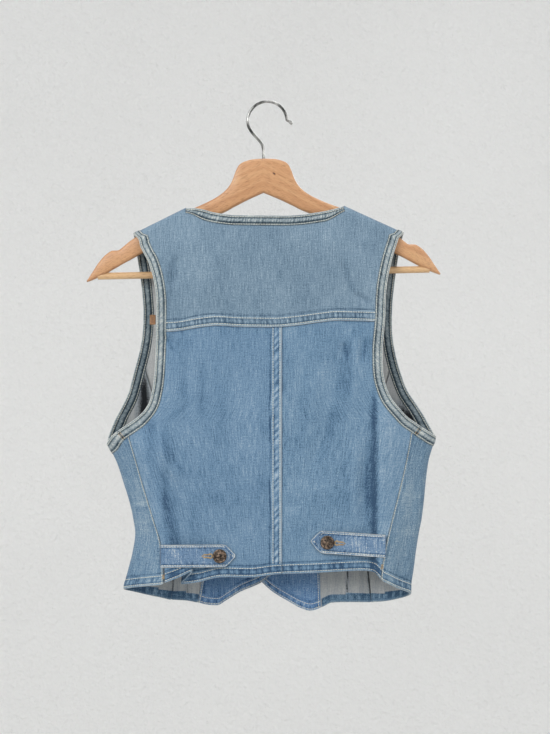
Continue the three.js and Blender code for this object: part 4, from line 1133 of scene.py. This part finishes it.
def side_surface(half, u, v):
    """Middle of a side panel, and the way along, height and hem height of each place."""
    back_low, back_top, _ = back_frame(half)
    front_top = seam_end(half, FRONT, PRINCESS_SEAM)

    def along(share_u, share_v):
        z_back = mix(back_low, back_top, share_v)
        z_front = mix(FRONT_LOW[half], front_top, share_v)
        seam = -arc_of(side_fold(half, z_back) - side_seam_x(half, z_back)) + BUTT
        princess = arc_of(side_fold(half, z_front) - read(PRINCESS_SEAM, "z", z_front, SIDE[half])) - BUTT
        on_back = mix(seam, -FOLD_ARC, share_u / SIDE_START)
        on_fold = mix(-FOLD_ARC, FOLD_ARC, (share_u - SIDE_START) / (SIDE_END - SIDE_START))
        on_front = mix(FOLD_ARC, princess, (share_u - SIDE_END) / (1 - SIDE_END))
        return np.where(share_u < SIDE_START, on_back, np.where(share_u < SIDE_END, on_fold, on_front))

    low = read(SIDE_HEM[half], "q", along(u, 0 * v), "z")
    top = armhole_z(half, along(u, 0 * v + 1))
    for inset, low_end, top_end in ((u, back_low, back_top), (1 - u, FRONT_LOW[half], front_top)):
        share = np.clip(1 - inset / CORNER_SHARE, 0, 1)
        low, top = mix(low, low_end, share), mix(top, top_end, share)
    z = mix(low, top, v)
    q = along(u, v)
    return wrap(half, q, z), q, z, low


def inner_shade(half, at):
    """Darkening of the inner side where the underarm keeps the light off."""
    x, z = at[..., 0], at[..., 2]
    above = ease((z - SHADE_LOW) / 60)
    if half == RIGHT:
        return 2.4 * ease((-z - 345) / 48) * above
    width = mix(3.5, 8.5, np.clip((-z - 310) / 70, 0, 1))
    return 1.9 * bell(x - SHADE_X, width) * ease((-z - 305) / 45) * above


def inside_tone(half, at, run, pitch, seed):
    """Tone of the inner side: uneven, with painted shade that makes it darker towards the hem and at the
    underarm.
    """
    paler = 0.2 + 0.25 * ease((at[..., 2] - SHADE_LOW) / 50)
    return paler + 0.2 * ripple(run, pitch, seed) - inner_shade(half, at)


def side_panel(half):
    u, v = np.meshgrid(steps(0, 1, 1.6 / 125), steps(0, 1, GRID / 190), indexing="ij")
    at, q, z, low = side_surface(half, u, v)
    out = facing_out(at, half)
    above_hem = z - low
    side = np.where(q < 0, BACK, FRONT)
    from_seam = np.abs(q - q[:1])
    pucker, fade_and_shade = felled(above_hem, q, HEM_WIDTH, 8.2, 2.6 + half)
    fade_and_shade += wear_and_fold_shade(at[..., 0], z, side) * ease(np.abs(q) / 20)
    fade_and_shade += 0.16 * bell(q, 6) * (1 + 0.5 * ripple(z, 19, 1.0))
    # Painted shade on the front part of the hem, whose turned-up inner side is seen from inside the vest.
    fade_and_shade -= 0.5 * (1 - ease((above_hem - HEM_WIDTH + 1) / 1.0)) * ease(q / 8)
    fade_and_shade += 0.35 * bell(from_seam, 1.0) - 0.4 * bell(from_seam - 3.4, 1.1)
    for height, strength in SIDE_MARKS[half]:
        fade_and_shade += strength * bell(z - height - 3 * np.sin(q / 9), 2.2) * ease((-q - 4) / 10)
    marks = fade_and_shade_marks(q + 400, z, fade_and_shade, inside=inside_tone(half, at, q, 17, 2.0))
    outer = HALF + pucker
    cloth(f"side_{SIDE[half]}", at, out, outer, turned_hem(above_hem), [SIDE_DENIM[half], WRONG_SIDE],
          "denim", [f"side_panel_{SIDE[half]}"], marks, above_hem < HEM_WIDTH - 1)
    places = at + out * outer[..., None]
    clear = z[1] < back_frame(half)[1] - BAND_WIDTH - 1
    rows = [*hem_rows(places, out, above_hem, HEM_ROWS), (places[1][clear], out[1][clear])]
    sew(f"side_{SIDE[half]}_stitching", rows, OFF_WHITE)


SHADE_X = -148.5
SHADE_LOW = -470.0
# Lines pressed into the sides: their height and how pale they are
SIDE_MARKS = {
    LEFT: [(-479, 0.5), (-486, -0.3), (-501, 0.35), (-452, 0.2)],
    RIGHT: [(-470, 0.2), (-515, 0.2)],
}
SIDE_DENIM = {
    LEFT: denim("side_left_denim", (52, 77, 103), (91, 119, 144), (116, 141, 161), (168, 181, 188)),
    RIGHT: denim("side_right_denim", (52, 77, 101), (91, 118, 141), (116, 140, 158), (168, 181, 187)),
}
for half in (LEFT, RIGHT):
    side_panel(half)


# Fronts
# Each front runs from the shoulder ridge to a pointed hem. The wearer's right front buttons over the
# left one. Its front edge and V neck are turned in over a facing and stitched.
FRONT_HEM = table(
    "u x_left z_left x_right z_right",
    (0, -9, -568, -12, -573),
    (0.14, 8, -580.5, 8, -591),
    (0.3, 31, -590.5, 29, -603.5),
    (0.42, 48, -601, 43, -611),
    (0.5, 60, -607.5, 54, -614),
    (0.57, 71, -607, 66, -610.5),
    (0.65, 83, -604, 80, -604),
    (0.8, 98, -601, 100, -603),
    (1, 115, -600, 128, -603),
)
FRONT_EDGE = table(
    "z left right",
    (-574, -9, -12),
    (-306, -9, -12),
    (-290, 0, -3),
    (-250, 25, 22),
    (-200, 53, 50),
    (-160, 77, 74),
    (-126, 97, 94),
)
FACING_END = {LEFT: 0.65, RIGHT: 0.57}  # share of the front's width that its facing covers
FRONT_STEP = 1.8 / 125
HEM_SHARE = 0.3  # share of the front's height over which its hem's shape fades out
FRONT_HEM_WIDTH = 11.0
FRONT_ROWS = (ROW, 9.2)
FACING_ROWS = (ROW, 8.1)
FACING_NEAR = HALF + 0.15
FACING_WALL = 0.9
DART_X = {LEFT: -97.0, RIGHT: 97.6}
DART_LOW = -600.0
DART_LEAN = 0.05
DART_TONE = {LEFT: 0.3, RIGHT: 1.4}


def front_surface(half, u, v):
    """Middle of a front: u runs from its front edge to its outer one, v from its hem up."""
    corner = seam_end(half, FRONT, PRINCESS_SEAM)
    low = FRONT_LOW[half]
    top = float(CLOTH_EDGE[half][1][-1])
    edge_low = float(FRONT_HEM["z_" + SIDE[half]][0])

    def outer(z):
        seam = read(PRINCESS_SEAM, "z", z, SIDE[half]) - BUTT
        return half * np.where(z < corner, seam, armhole_x(half, FRONT, z))

    def inner(z):
        return half * read(FRONT_EDGE, "z", z, SIDE[half])

    z_outer = mix(low, top, v)
    z_inner = mix(edge_low, float(ridge(NECK_END[half])), v)
    shape = (1 - np.clip(v / HEM_SHARE, 0, 1)) ** 2
    hem_x = half * read(FRONT_HEM, "u", u, "x_" + SIDE[half])
    hem_z = read(FRONT_HEM, "u", u, "z_" + SIDE[half])
    x = mix(inner(z_inner), outer(z_outer), u)
    x += shape * (hem_x - mix(inner(edge_low), outer(low), u))
    level = mix(z_inner, z_outer, u) + shape * (hem_z - mix(edge_low, low, u))
    under_ridge = ridge(x) - (1 - v) * (top - low)
    z = mix(level, under_ridge, ease((v - 0.85) / 0.1))
    return skin(FRONT, x, np.minimum(z, ridge(x)), half * OVERLAP)


def front_grid(last):
    return np.meshgrid(steps(0, last, FRONT_STEP), over_ridge(445, 2.0), indexing="ij")


def front(half):
    u, v = front_grid(1.0)
    at = front_surface(half, u, v)
    out = facing_out(at, -half)
    x, z = at[..., 0], at[..., 2]
    above_hem = z - z[:, :1]
    from_edge = np.abs(x - x[:1])
    pucker, fade_and_shade = felled(above_hem, x, FRONT_HEM_WIDTH, 8.0, 3.1 + half)
    fade_and_shade += wear_and_fold_shade(x, z, FRONT) + 0.5 * bell(from_edge, 1.4) - 0.35 * bell(from_edge - 4.5, 1.2)
    # Painted shade on the hem beyond the facing, whose turned-up inner side is seen from inside the vest.
    fade_and_shade -= 0.55 * (1 - ease((above_hem - FRONT_HEM_WIDTH + 0.5) / 1.0)) * ease((u - FACING_END[half]) / 0.02)
    turned = (above_hem < FRONT_HEM_WIDTH) & (u > FACING_END[half])
    hem = 1 - ease((above_hem - FRONT_HEM_WIDTH) / 0.9)
    inner = HALF + HEM_RISE * np.where(u > FACING_END[half] + 0.015, hem, 0)
    seam_x = half * read(PRINCESS_SEAM, "z", z, SIDE[half])
    dart_x = DART_X[half] + DART_LEAN * (z - DART_LOW)
    inside = inside_tone(half, at, x, 13, 3.0) - 1.5 * bell(x - seam_x, 1.1) * ease((-z - 450) / 30)
    inside -= DART_TONE[half] * bell(x - dart_x, 0.9) * ease((-z - 470) / 20)
    outer = HALF + pucker
    cloth(f"front_panel_{SIDE[half]}", at, out, outer, inner, [SIDE_DENIM[half], WRONG_SIDE], "denim",
          [f"front_{SIDE[half]}"], fade_and_shade_marks(x + 900, z, fade_and_shade, inside=inside), turned)
    places = at + out * outer[..., None]
    seam = z[-2] < seam_end(half, FRONT, PRINCESS_SEAM) - 2.0
    rows = hem_rows(places, out, above_hem, FRONT_ROWS)
    rows += [(places[2], out[2]), (places[-2][seam], out[-2][seam])]
    sew(f"front_panel_{SIDE[half]}_stitching", rows, OFF_WHITE)


def facing(half):
    u, v = front_grid(FACING_END[half])
    at = front_surface(half, u, v)
    out = facing_out(at, -half)
    x, z = at[..., 0], at[..., 2]
    above_hem = z - z[:, :1]
    from_edge = np.abs(x - x[-1:])
    _, fade_and_shade = felled(above_hem, x, 10.0, 7.4, 0.2 + half)
    fade_and_shade += 0.8 * bell(from_edge, 1.0) - 0.8 * bell(from_edge - 3.4, 0.9)
    cloth(f"front_facing_{SIDE[half]}", at, out, -FACING_NEAR, FACING_NEAR + FACING_WALL,
          [FACING_DENIM, FACING_DENIM], "facing", [f"facing_{SIDE[half]}"], fade_and_shade_marks(x + 1400, z, fade_and_shade))
    places = at - out * (FACING_NEAR + FACING_WALL)
    rows = [(places[-2], -out[-2]), *hem_rows(places, -out, above_hem, FACING_ROWS), (places[2], -out[2])]
    sew(f"front_facing_{SIDE[half]}_stitching", rows, OFF_WHITE)


FACING_DENIM = denim("facing_denim", (44, 72, 106), (83, 116, 154), (110, 141, 175), (180, 189, 194))
for half in (LEFT, RIGHT):
    front(half)
    facing(half)


# Armhole bindings
# A strip of the denim, cut on the bias and folded round each armhole, is stitched through all its
# layers close to both of its edges, so it puckers between the rows.
BAND_PROFILE = table(
    "inside rise",
    (12.6, 1.0),
    (12.2, 1.3),
    (11.2, 1.25),
    (9.5, 1.5),
    (8, 1.6),
    (6.5, 1.6),
    (5, 1.5),
    (3.6, 1.25),
    (2.6, 1.3),
    (1.6, 1.3),
    (0.9, 1.1),
    (0.4, 0.7),
    (0.1, 0.25),
)
BAND_WALL = 0.55
JOINT_BEFORE_FOLD = 24.0
BAND_ROWS = (2.4, 11.2)
# Pale and dark lines along the binding: how far inside its edge, how wide and how pale they are. The last is
# a painted shadow where the binding's edge meets the cloth.
BAND_STRIPES = [(0.2, 0.9, 1.3), (3.5, 0.6, -0.9), (6.2, 1.9, 0.55), (9.6, 0.7, -1.1), (12.6, 0.5, -0.5)]


def band(name, lines, out, run, replaced, seed, tone, ladder=0.3, pitch=4.6):
    """A binding, from lines that run along it at each distance inside its edge."""
    inside, rise = BAND_PROFILE["inside"], BAND_PROFILE["rise"]
    inside = np.r_[inside, inside[::-1]]
    rise = np.r_[rise, -rise[::-1]]
    between = np.sin(np.pi * np.clip((inside - BAND_ROWS[0]) / (BAND_ROWS[1] - BAND_ROWS[0]), 0, 1))
    wave = ripple(run[:, None] + 0.2 * inside, pitch, seed)
    lift = rise + np.sign(rise) * 0.5 * PUCKER * between * wave
    grid = np.stack([lines(distance) for distance in inside], 1)
    above = grid + out[:, None] * lift[..., None]
    thin = lift - np.sign(rise) * np.minimum(BAND_WALL, np.abs(rise))
    inner = np.stack([lines(distance + 0.8 * (distance < 1.7)) for distance in inside], 1)
    below = inner + out[:, None] * thin[..., None]
    stripes = sum(share * bell(inside - at, width) for at, width, share in BAND_STRIPES)
    fade_and_shade = stripes + ladder * between * wave + tone(run)[:, None]
    place = 1.2 * np.broadcast_to(np.where(rise > 0, inside, -inside), fade_and_shade.shape)
    marks = fade_and_shade_marks(run[:, None] + place, place - run[:, None], fade_and_shade)
    sheet(shell(name, above, below, [BAND_DENIM, BAND_DENIM], "binding", replaced, marks), above, below)
    rows = []
    for at in BAND_ROWS:
        height = float(np.interp(at, BAND_PROFILE["inside"][::-1], BAND_PROFILE["rise"][::-1]))
        rows += [(lines(at) + out * height, out), (lines(at) - out * height, -out)]
    sew(name + "_stitching", rows, OFF_WHITE)


def band_tone(run, joint):
    """Darker on the front, partly from less wear and partly painted shade inside the armhole, with a dark
    line at its joint.
    """
    line = 0.5 * bell(run - run[joint] - 5, 3) - bell(run - run[joint], 0.9)
    return 0.1 * ripple(run, 41, 2.0) - 0.45 * ease((run / run[-1] - 0.52) / 0.05) + line


def armhole_band(half):
    def lines(distance):
        return armhole_line(half, distance)[2]

    inner, outer = lines(0.5), lines(12.0)
    out = unit(np.cross(np.gradient((inner + outer) / 2, axis=0), inner - outer))
    on_back = len(out) // 5
    if out[on_back, 1] > 0:
        out = -out
    joint = int(np.argmin(np.abs(OUTLINE[half][:, 0] + JOINT_BEFORE_FOLD)))
    band(f"armhole_{SIDE[half]}", lines, out, run_of(lines(6.0)), [f"armhole_band_{SIDE[half]}"], 1.3 + half,
         lambda run: band_tone(run, joint))
    seam = np.array([lines(distance)[joint] for distance in np.linspace(3.2, 11.4, 9)])
    ahead = (lines(7.0)[joint + 1] - lines(7.0)[joint]) / 2.0
    for letter, shift in (("a", -1.6), ("b", 1.6)):
        row = (seam + out[joint] * 1.75 + ahead * shift, np.tile(out[joint], (9, 1)))
        sew(f"armhole_{SIDE[half]}_joint_{letter}", [row], TAN_THREAD)


TAN_THREAD = sewing_thread("tan_thread", (176, 150, 106), (128, 106, 78))
BAND_DENIM = denim("band_denim", (40, 54, 64), (104, 119, 127), (140, 151, 156), (204, 206, 200))
for half in (LEFT, RIGHT):
    armhole_band(half)


# Neck binding
# The same strip, folded over the back neck edge and stitched in two rows. It lies between the two
# points where the fronts begin, and is slimmer at its ends.
def neck_band():
    x = np.linspace(NECK_END[LEFT] + 0.8, NECK_END[RIGHT] - 0.8, 240)
    slim = 0.4 + 0.6 * ease((x - NECK_END[LEFT]) / 26) * ease((NECK_END[RIGHT] - x) / 26)
    edge = read(NECK, "x", x, "z")
    slope = np.gradient(edge, x)
    length = np.hypot(1, slope)

    def lines(distance):
        inward = np.where(distance > BAND_EDGE, slim, 1) * (distance - BAND_EDGE)
        px = x + slope / length * inward
        pz = edge - BAND_EDGE - inward / length
        return skin(BACK, px, np.minimum(pz, ridge(px)))

    _, out = on_skin(x, edge - 7.0, 0.0)
    run = run_of(np.stack([x, edge], -1))
    band("neck_binding", lines, out, run, ["neck_band"], 0.4,
         lambda run: 0.12 * ripple(run, 33, 1.0) - 0.28, ladder=0.6, pitch=3.4)


neck_band()


# Waist tabs
# Two layers of denim, turned and stitched round the edge, are caught in the side seams. Each tab has
# a worked buttonhole and is buttoned flat on the back.
TAB_LENGTH = 88.0
TAB_HALF_WIDTH = 13.2
TAB_POINT = 12.0
TABS = {
    LEFT: {"root": -125.0, "z": -543.0, "slope": 0.0, "button": -55.0, "eye": -66.2},
    RIGHT: {"root": 142.0, "z": -531.0, "slope": -0.06, "button": 73.0, "eye": 84.4},
}
TAB_SHARES = np.array([0, 0.14, 0.3, 0.46, 0.62, 0.78, 0.865, 0.93, 1])
TAB_WALL = 1.2
TAB_ROW = 2.2  # its row of stitches lies this far inside its edge
TAB_OUT = np.array([0.0, -1.0, 0.0])


def tab_line(half):
    """How far back the tab lies at each share of its length, drawn straight over hollows."""
    tab = TABS[half]
    x = tab["root"] - half * TAB_SHARES * TAB_LENGTH
    heights = tab["z"] + np.linspace(-1, 1, 5) * TAB_HALF_WIDTH
    proud = skin(BACK, x[:, None], heights)[..., 1].min(1) - (3 * HALF + 0.8)
    taut = proud.copy()
    for i, share in enumerate(TAB_SHARES):
        for a in range(i):
            for b in range(i + 1, len(TAB_SHARES)):
                t = (share - TAB_SHARES[a]) / (TAB_SHARES[b] - TAB_SHARES[a])
                taut[i] = min(taut[i], mix(proud[a], proud[b], t))
    return {"share": TAB_SHARES, "y": taut}


def tab_middle(half, x):
    """Height of a tab's middle line."""
    tab = TABS[half]
    return tab["z"] + tab["slope"] * (x - tab["root"])


def tab_depth(half, x):
    """How far back a tab's middle lies at x."""
    return read(tab_line(half), "share", np.abs(x - TABS[half]["root"]) / TAB_LENGTH, "y")


def tab_surface(half, line, u, v):
    """A place on the tab: u from its root to its tip, v from its lower edge to its upper one."""
    to_tip = (1 - u) * TAB_LENGTH
    reach = np.clip(0.1 + to_tip / TAB_POINT, 0, 1) - 0.06 * bell(to_tip - 10.8, 2.5)
    x = TABS[half]["root"] - half * u * TAB_LENGTH
    wave = 0.35 * ripple(u * TAB_LENGTH, 17, 2.0 + half) * (2 * v - 1)
    z = tab_middle(half, x) + mix(-1, 1, v) * TAB_HALF_WIDTH * reach
    return np.stack([x, read(line, "share", u, "y") + wave, z], -1)


def tab_outline():
    """Shares along and across a tab of its row of stitches, from the root round the tip and back."""
    inset = TAB_ROW / TAB_HALF_WIDTH / 2
    straight = np.linspace(0.005, 1 - 13.5 / TAB_LENGTH, 60)
    tip = 1 - 2.6 / TAB_LENGTH
    to_tip = np.linspace(straight[-1], tip, 12)[1:]
    from_tip = np.linspace(tip, straight[-1], 12)
    u = np.r_[straight, to_tip, tip, from_tip, straight[-2::-1]]
    low, high = np.linspace(inset, 0.5, 12)[1:], np.linspace(0.5, 1 - inset, 12)
    v = np.r_[0 * straight + inset, low, 0.5, high, 0 * straight[1:] + 1 - inset]
    return u, v


def waist_tab(half):
    line = tab_line(half)
    u, v = np.meshgrid(steps(0, 1, 0.011), steps(0, 1, 0.035), indexing="ij")
    at = tab_surface(half, line, u, v)
    x, z = at[..., 0], at[..., 2]
    to_tip = (1 - u) * TAB_LENGTH
    edge = TAB_HALF_WIDTH * (1 - np.abs(2 * v - 1)) * np.clip(0.1 + to_tip / TAB_POINT, 0, 1)
    edge = np.minimum(edge, to_tip * 0.75)
    wave = ripple(u * TAB_LENGTH + 0.6 * z, 6.5, 1.0 + half) * bell(edge - 4.0, 2.4)
    fade_and_shade = 0.1 + 1.3 * bell(edge, 0.9) - 0.9 * bell(edge - 3.6, 0.7) + 0.5 * wave
    fade_and_shade += 0.12 * ripple(x + 0.7 * z, 31, 0.5)
    slit = bell(z - tab_middle(half, x), 3.2) * bell(x - TABS[half]["eye"] - half * 6, 12.0)
    fade_and_shade += 0.3 * slit
    thin = 0.45 + 0.55 * ease(edge / 1.2)
    outer = TAB_WALL - 0.55 * bell(edge - TAB_ROW, 0.9) + 0.2 * wave * ease((edge - TAB_ROW) / 1.5)
    cloth(f"tab_{SIDE[half]}", at, np.broadcast_to(TAB_OUT, at.shape), outer * thin, TAB_WALL * thin,
          [TAB_DENIM, TAB_DENIM], "denim", [f"waist_tab_{SIDE[half]}"], fade_and_shade_marks(x + 2000, z, fade_and_shade))
    row = tab_surface(half, line, *tab_outline()) + 0.75 * TAB_OUT
    sew(f"tab_{SIDE[half]}_stitching", [(row, np.broadcast_to(TAB_OUT, row.shape))], OFF_WHITE)


def tack(half):
    """A few tan stitches that lie across the side seam below the tab."""
    low = TABS[half]["z"] - TAB_HALF_WIDTH - 9.0
    rows = []
    for z in low - np.arange(5) * 1.1:
        seam = half * float(side_seam_x(half, z))
        rows.append(on_skin(seam + np.linspace(-2.0, 2.0, 5), z + 0 * np.arange(5), HALF + 0.1))
    sew(f"side_{SIDE[half]}_tack", rows, TAN_THREAD, 0.38, 4.0)


def buttonhole(half):
    """Stitches that stand side by side round an eyelet and along the slit behind it."""
    eye_x = TABS[half]["eye"]
    turn = np.radians(np.linspace(-150, 150, 22))
    ring = np.stack([-half * np.cos(turn), np.sin(turn)], -1)
    slot = np.linspace(0, 6.6, 12)
    lower = np.stack([half * (1.3 + slot), -0.7 + 0.04 * slot], -1)
    end = np.stack([half * np.array([8.2, 8.4, 8.2]), np.array([-0.6, 0.0, 0.6])], -1)
    around = np.concatenate([lower[::-1], ring * 1.5, lower * (1, -1), end])
    ways = [np.tile([0.0, -1.0], (12, 1)), ring, np.tile([0.0, 1.0], (12, 1)), np.tile([half, 0.0], (3, 1))]
    ways = np.insert(np.concatenate(ways), 1, 0.0, axis=1)
    x = eye_x + around[:, 0]
    starts = np.stack([x, tab_depth(half, x) - TAB_WALL - 0.12, tab_middle(half, x) + around[:, 1]], -1)
    faces_out = np.tile(TAB_OUT, (2, 1))
    rows = [(np.stack([start, start + way * 2.0]), faces_out) for start, way in zip(starts, ways)]
    sew(f"tab_{SIDE[half]}_buttonhole", rows, TAN_THREAD, 0.36, 2.0)
    x = eye_x + half * np.linspace(-0.8, 7.8, 12)
    slit = np.stack([x, tab_depth(half, x) - TAB_WALL + 0.15, tab_middle(half, x)], -1)
    radii = np.r_[0.3, 0.8, 0.8, np.full(8, 0.4), 0.2]
    turn = circle(10)
    ring = np.stack([0 * turn, -0.35 * np.cos(turn), np.sin(turn)], -1)
    points, faces = tube(slit[:, None] + ring * radii[:, None, None])
    piece(f"tab_{SIDE[half]}_slit", points, faces, [DARK_THREAD], "denim")


TAB_DENIM = denim("tab_denim", (48, 73, 102), (88, 115, 144), (112, 137, 163), (200, 204, 202))
DARK_THREAD = sewing_thread("dark_thread", (38, 44, 52), (22, 26, 32))
for half in (LEFT, RIGHT):
    waist_tab(half)
    tack(half)
    buttonhole(half)


# Buttons
# Six cast metal buttons with a raised rim and a domed middle, antiqued, each riveted through the cloth
# by its shank: one on each tab and four down the front.
BUTTON_RADIUS = 8.4
SHANK_RADIUS = 2.6
FRONT_BUTTON_TOP = -312.0
FRONT_BUTTON_PITCH = 78.0
BUTTON_PROFILE = table(
    "r y",
    (2.6, 0.0),
    (6.9, 0.0),
    (7.7, 0.25),
    (8.2, 0.7),
    (8.35, 1.2),
    (8.2, 1.75),
    (7.8, 2.2),
    (7.2, 2.4),
    (6.7, 2.3),
    (6.35, 1.95),
    (6.1, 1.85),
    (5.7, 1.9),
    (5.5, 2.2),
    (5.2, 2.35),
    (4.8, 2.3),
    (4.6, 2.05),
    (4.2, 2.1),
    (3.0, 2.5),
    (1.5, 2.75),
    (0.01, 2.85),
)


def button(name, x, z, seat, head, way):
    """A turned button: its shank starts at y seat and its head at y head."""
    r = np.r_[0.01, SHANK_RADIUS, SHANK_RADIUS, BUTTON_PROFILE["r"]][:, None]
    y = np.r_[seat, seat, head, head + way * BUTTON_PROFILE["y"]][:, None]
    turn = circle(48)
    points, faces = tube(np.stack([x + r * np.cos(turn), y + 0 * turn, z + r * np.sin(turn)], -1))
    if way > 0:
        faces = [face[::-1] for face in faces]
    return piece(name, points, faces, [ANTIQUE], "brass", [name])


def tab_button(half):
    tab, line = TABS[half], tab_line(half)
    share = abs(tab["button"] - tab["root"]) / TAB_LENGTH
    z = tab_middle(half, tab["button"])
    reach = (BUTTON_RADIUS + 1) / TAB_LENGTH
    panel = float(skin(BACK, tab["button"], z)[1])
    proudest = float(read(line, "share", np.clip(share + np.linspace(-1, 1, 5) * reach, 0, 1), "y").min())
    seat, head = panel - HALF - 0.5, proudest - TAB_WALL - 0.45
    button(f"tab_button_{SIDE[half]}", tab["button"], z, seat, head, BACK)


def front_button(number, z):
    under, over = (float(skin(FRONT, CENTRE_FRONT, z, lap)[1]) + HALF for lap in (-OVERLAP, OVERLAP))
    button(f"front_button_{number}", CENTRE_FRONT, z, under + 0.4, over + 0.6, FRONT)


def front_buttonhole(height):
    """Five stitches over each other, which close the end of a buttonhole beside its button."""
    x = CENTRE_FRONT + np.linspace(7.0, 11.5, 5)
    rises = (-1.6, -0.8, 0.0, 0.8, 1.6)
    return [on_skin(x, height + rise + 0 * x, HALF + 0.1, FRONT, OVERLAP) for rise in rises]


ANTIQUE_STOPS = [(0.34, 42, 38, 36), (0.5, 82, 72, 64), (0.66, 140, 120, 104)]
ANTIQUE_VALUES = {"Metallic": 0.9, "Roughness": 0.42}
ANTIQUE = mottled(
    "antique_metal", ANTIQUE_VALUES, (420, 420, 420), 4, ANTIQUE_STOPS, (1500, 1500, 1500), 0.08
)
for half in (LEFT, RIGHT):
    tab_button(half)
holes = []
for i in range(4):
    height = FRONT_BUTTON_TOP - i * FRONT_BUTTON_PITCH
    front_button(i + 1, height)
    holes += front_buttonhole(height)
sew("front_buttonholes", holes, TAN_THREAD, 0.4, 4.5)


# Armhole label
# A small strip of plain tan leather, folded once and caught in the binding of the left armhole at the
# end of the yoke seam. It stands out into the armhole.
LABEL_WIDTH = 6.5
LABEL_HEIGHT = 11.0
LABEL_TOP = -256.0
LABEL_GAP = 0.7
LABEL_HALF_WALL = 0.8


def label():
    edge = -float(armhole_x(LEFT, BACK, LABEL_TOP - LABEL_HEIGHT / 2)) - BAND_EDGE - LABEL_GAP
    u, v = np.meshgrid(steps(0, 1, 0.09), steps(0, 1, 0.07), indexing="ij")
    z = mix(LABEL_TOP - LABEL_HEIGHT, LABEL_TOP, v)
    curl = 0.5 * np.sin(np.pi * v) * (1 - u)
    y = skin(BACK, edge + 0 * z, z)[..., 1] + (1 - u) * 1.5 + curl
    at = np.stack([edge - (1 - u) * LABEL_WIDTH, y, z], -1)
    out = facing_out(at, 1)
    edge_in = np.minimum(np.minimum(u * LABEL_WIDTH, (1 - v) * LABEL_HEIGHT), v * LABEL_HEIGHT)
    marks = fade_and_shade_marks(at[..., 0], z, bell(edge_in, 0.7))
    lift = out * (LABEL_HALF_WALL * (0.55 + 0.45 * ease((1 - u) * LABEL_WIDTH)))[..., None]
    shell("label", at + lift, at - lift, [LEATHER, LEATHER], "leather", ["armhole_label"], marks)


def leather():
    made, shader = finish("tan_leather", {"Roughness": 0.62})
    cut = node(made, "Attribute", pick="Vector", attribute_name="cut")
    fade_and_shade = node(made, "Attribute", pick="Fac", attribute_name="fade_and_shade")
    hide = grain(made, cut, (0.9, 0.9, 0.0), 4)
    tone = add_share(made, fade_and_shade, 0.25, hide)
    colour = ramp(made, tone, [(0.3, 74, 48, 28), (0.5, 116, 80, 50), (0.8, 158, 120, 82)])
    wear_into(made, shader, colour, hide, 0.12)
    return made


LEATHER = leather()
label()


# Set
# A pale room with soft light from four large panels. The camera stands square to the back of the vest,
# at the height of its middle. The room is a backdrop and no part of the object.
def room():
    """A floor that turns up into a round wall."""
    radius, fillet, floor, top = 3.6, 0.8, -2.6, 3.2
    turn = np.radians(np.linspace(0, 90, 12))[1:]
    r = np.r_[0.01, radius - fillet, radius - fillet + fillet * np.sin(turn), radius][:, None]
    z = np.r_[floor, floor, floor + fillet * (1 - np.cos(turn)), top][:, None]
    around = circle(96)
    points, faces = tube(np.stack([r * np.cos(around), r * np.sin(around), z + 0 * around], -1), capped=False)
    mesh = bpy.data.meshes.new("room")
    mesh.from_pydata(points.tolist(), [], faces)
    mesh.shade_smooth()
    body = bpy.data.objects.new("room", mesh)
    bpy.context.scene.collection.objects.link(body)
    mesh.materials.append(PLASTER)


def panel_light(name, place, size, power):
    """A soft rectangular light that faces the vest and isn't seen itself."""
    light = bpy.data.lights.new(name, "AREA")
    light.shape = "RECTANGLE"
    light.size, light.size_y = size
    light.energy = power
    body = bpy.data.objects.new(name, light)
    body.location = place
    body.rotation_euler = (Vector(MIDDLE) - Vector(place)).to_track_quat("-Z", "Y").to_euler()
    body.visible_camera = False
    bpy.context.scene.collection.objects.link(body)


MIDDLE = (0.0, 0.0, -0.33)
SENSOR = 36.0
DISTANCE = 2.4  # of the camera from the plane of the hook, in metres like all values of this section
VIEW_HEIGHT = 0.8841  # what the picture shows of that plane
PLASTER_STOPS = [(0.3, 236, 236, 235), (0.7, 240, 240, 239)]
PLASTER = mottled("plaster", {"Roughness": 0.95}, (1.5, 1.5, 1.5), 2, PLASTER_STOPS, (80, 80, 80), 8.0, 4)
room()
panel_light("key", (-1.5, -2.1, 0.9), (1.4, 1.4), 46)
panel_light("fill", (1.9, -1.9, 0.2), (1.6, 1.8), 20)
panel_light("top", (0.2, -0.3, 2.2), (2.0, 2.0), 26)
panel_light("back", (0.6, 2.2, 0.6), (2.0, 1.6), 34)

world = bpy.data.worlds.new("pale")
bpy.context.scene.world = world
world.use_nodes = True
sky = world.node_tree.nodes["Background"]
sky.inputs["Color"].default_value = (0.97, 0.98, 1.0, 1)
sky.inputs["Strength"].default_value = 0.55

camera_data = bpy.data.cameras.new("camera")
camera_data.sensor_width = SENSOR
camera_data.lens = SENSOR * DISTANCE / VIEW_HEIGHT
camera_data.clip_end = 20.0
camera = bpy.data.objects.new("camera", camera_data)
camera.location = (0.0108, -DISTANCE, -0.318)
camera.rotation_euler = (math.pi / 2, 0, 0)
bpy.context.scene.collection.objects.link(camera)
bpy.context.scene.camera = camera
bpy.context.scene.view_settings.view_transform = "Standard"
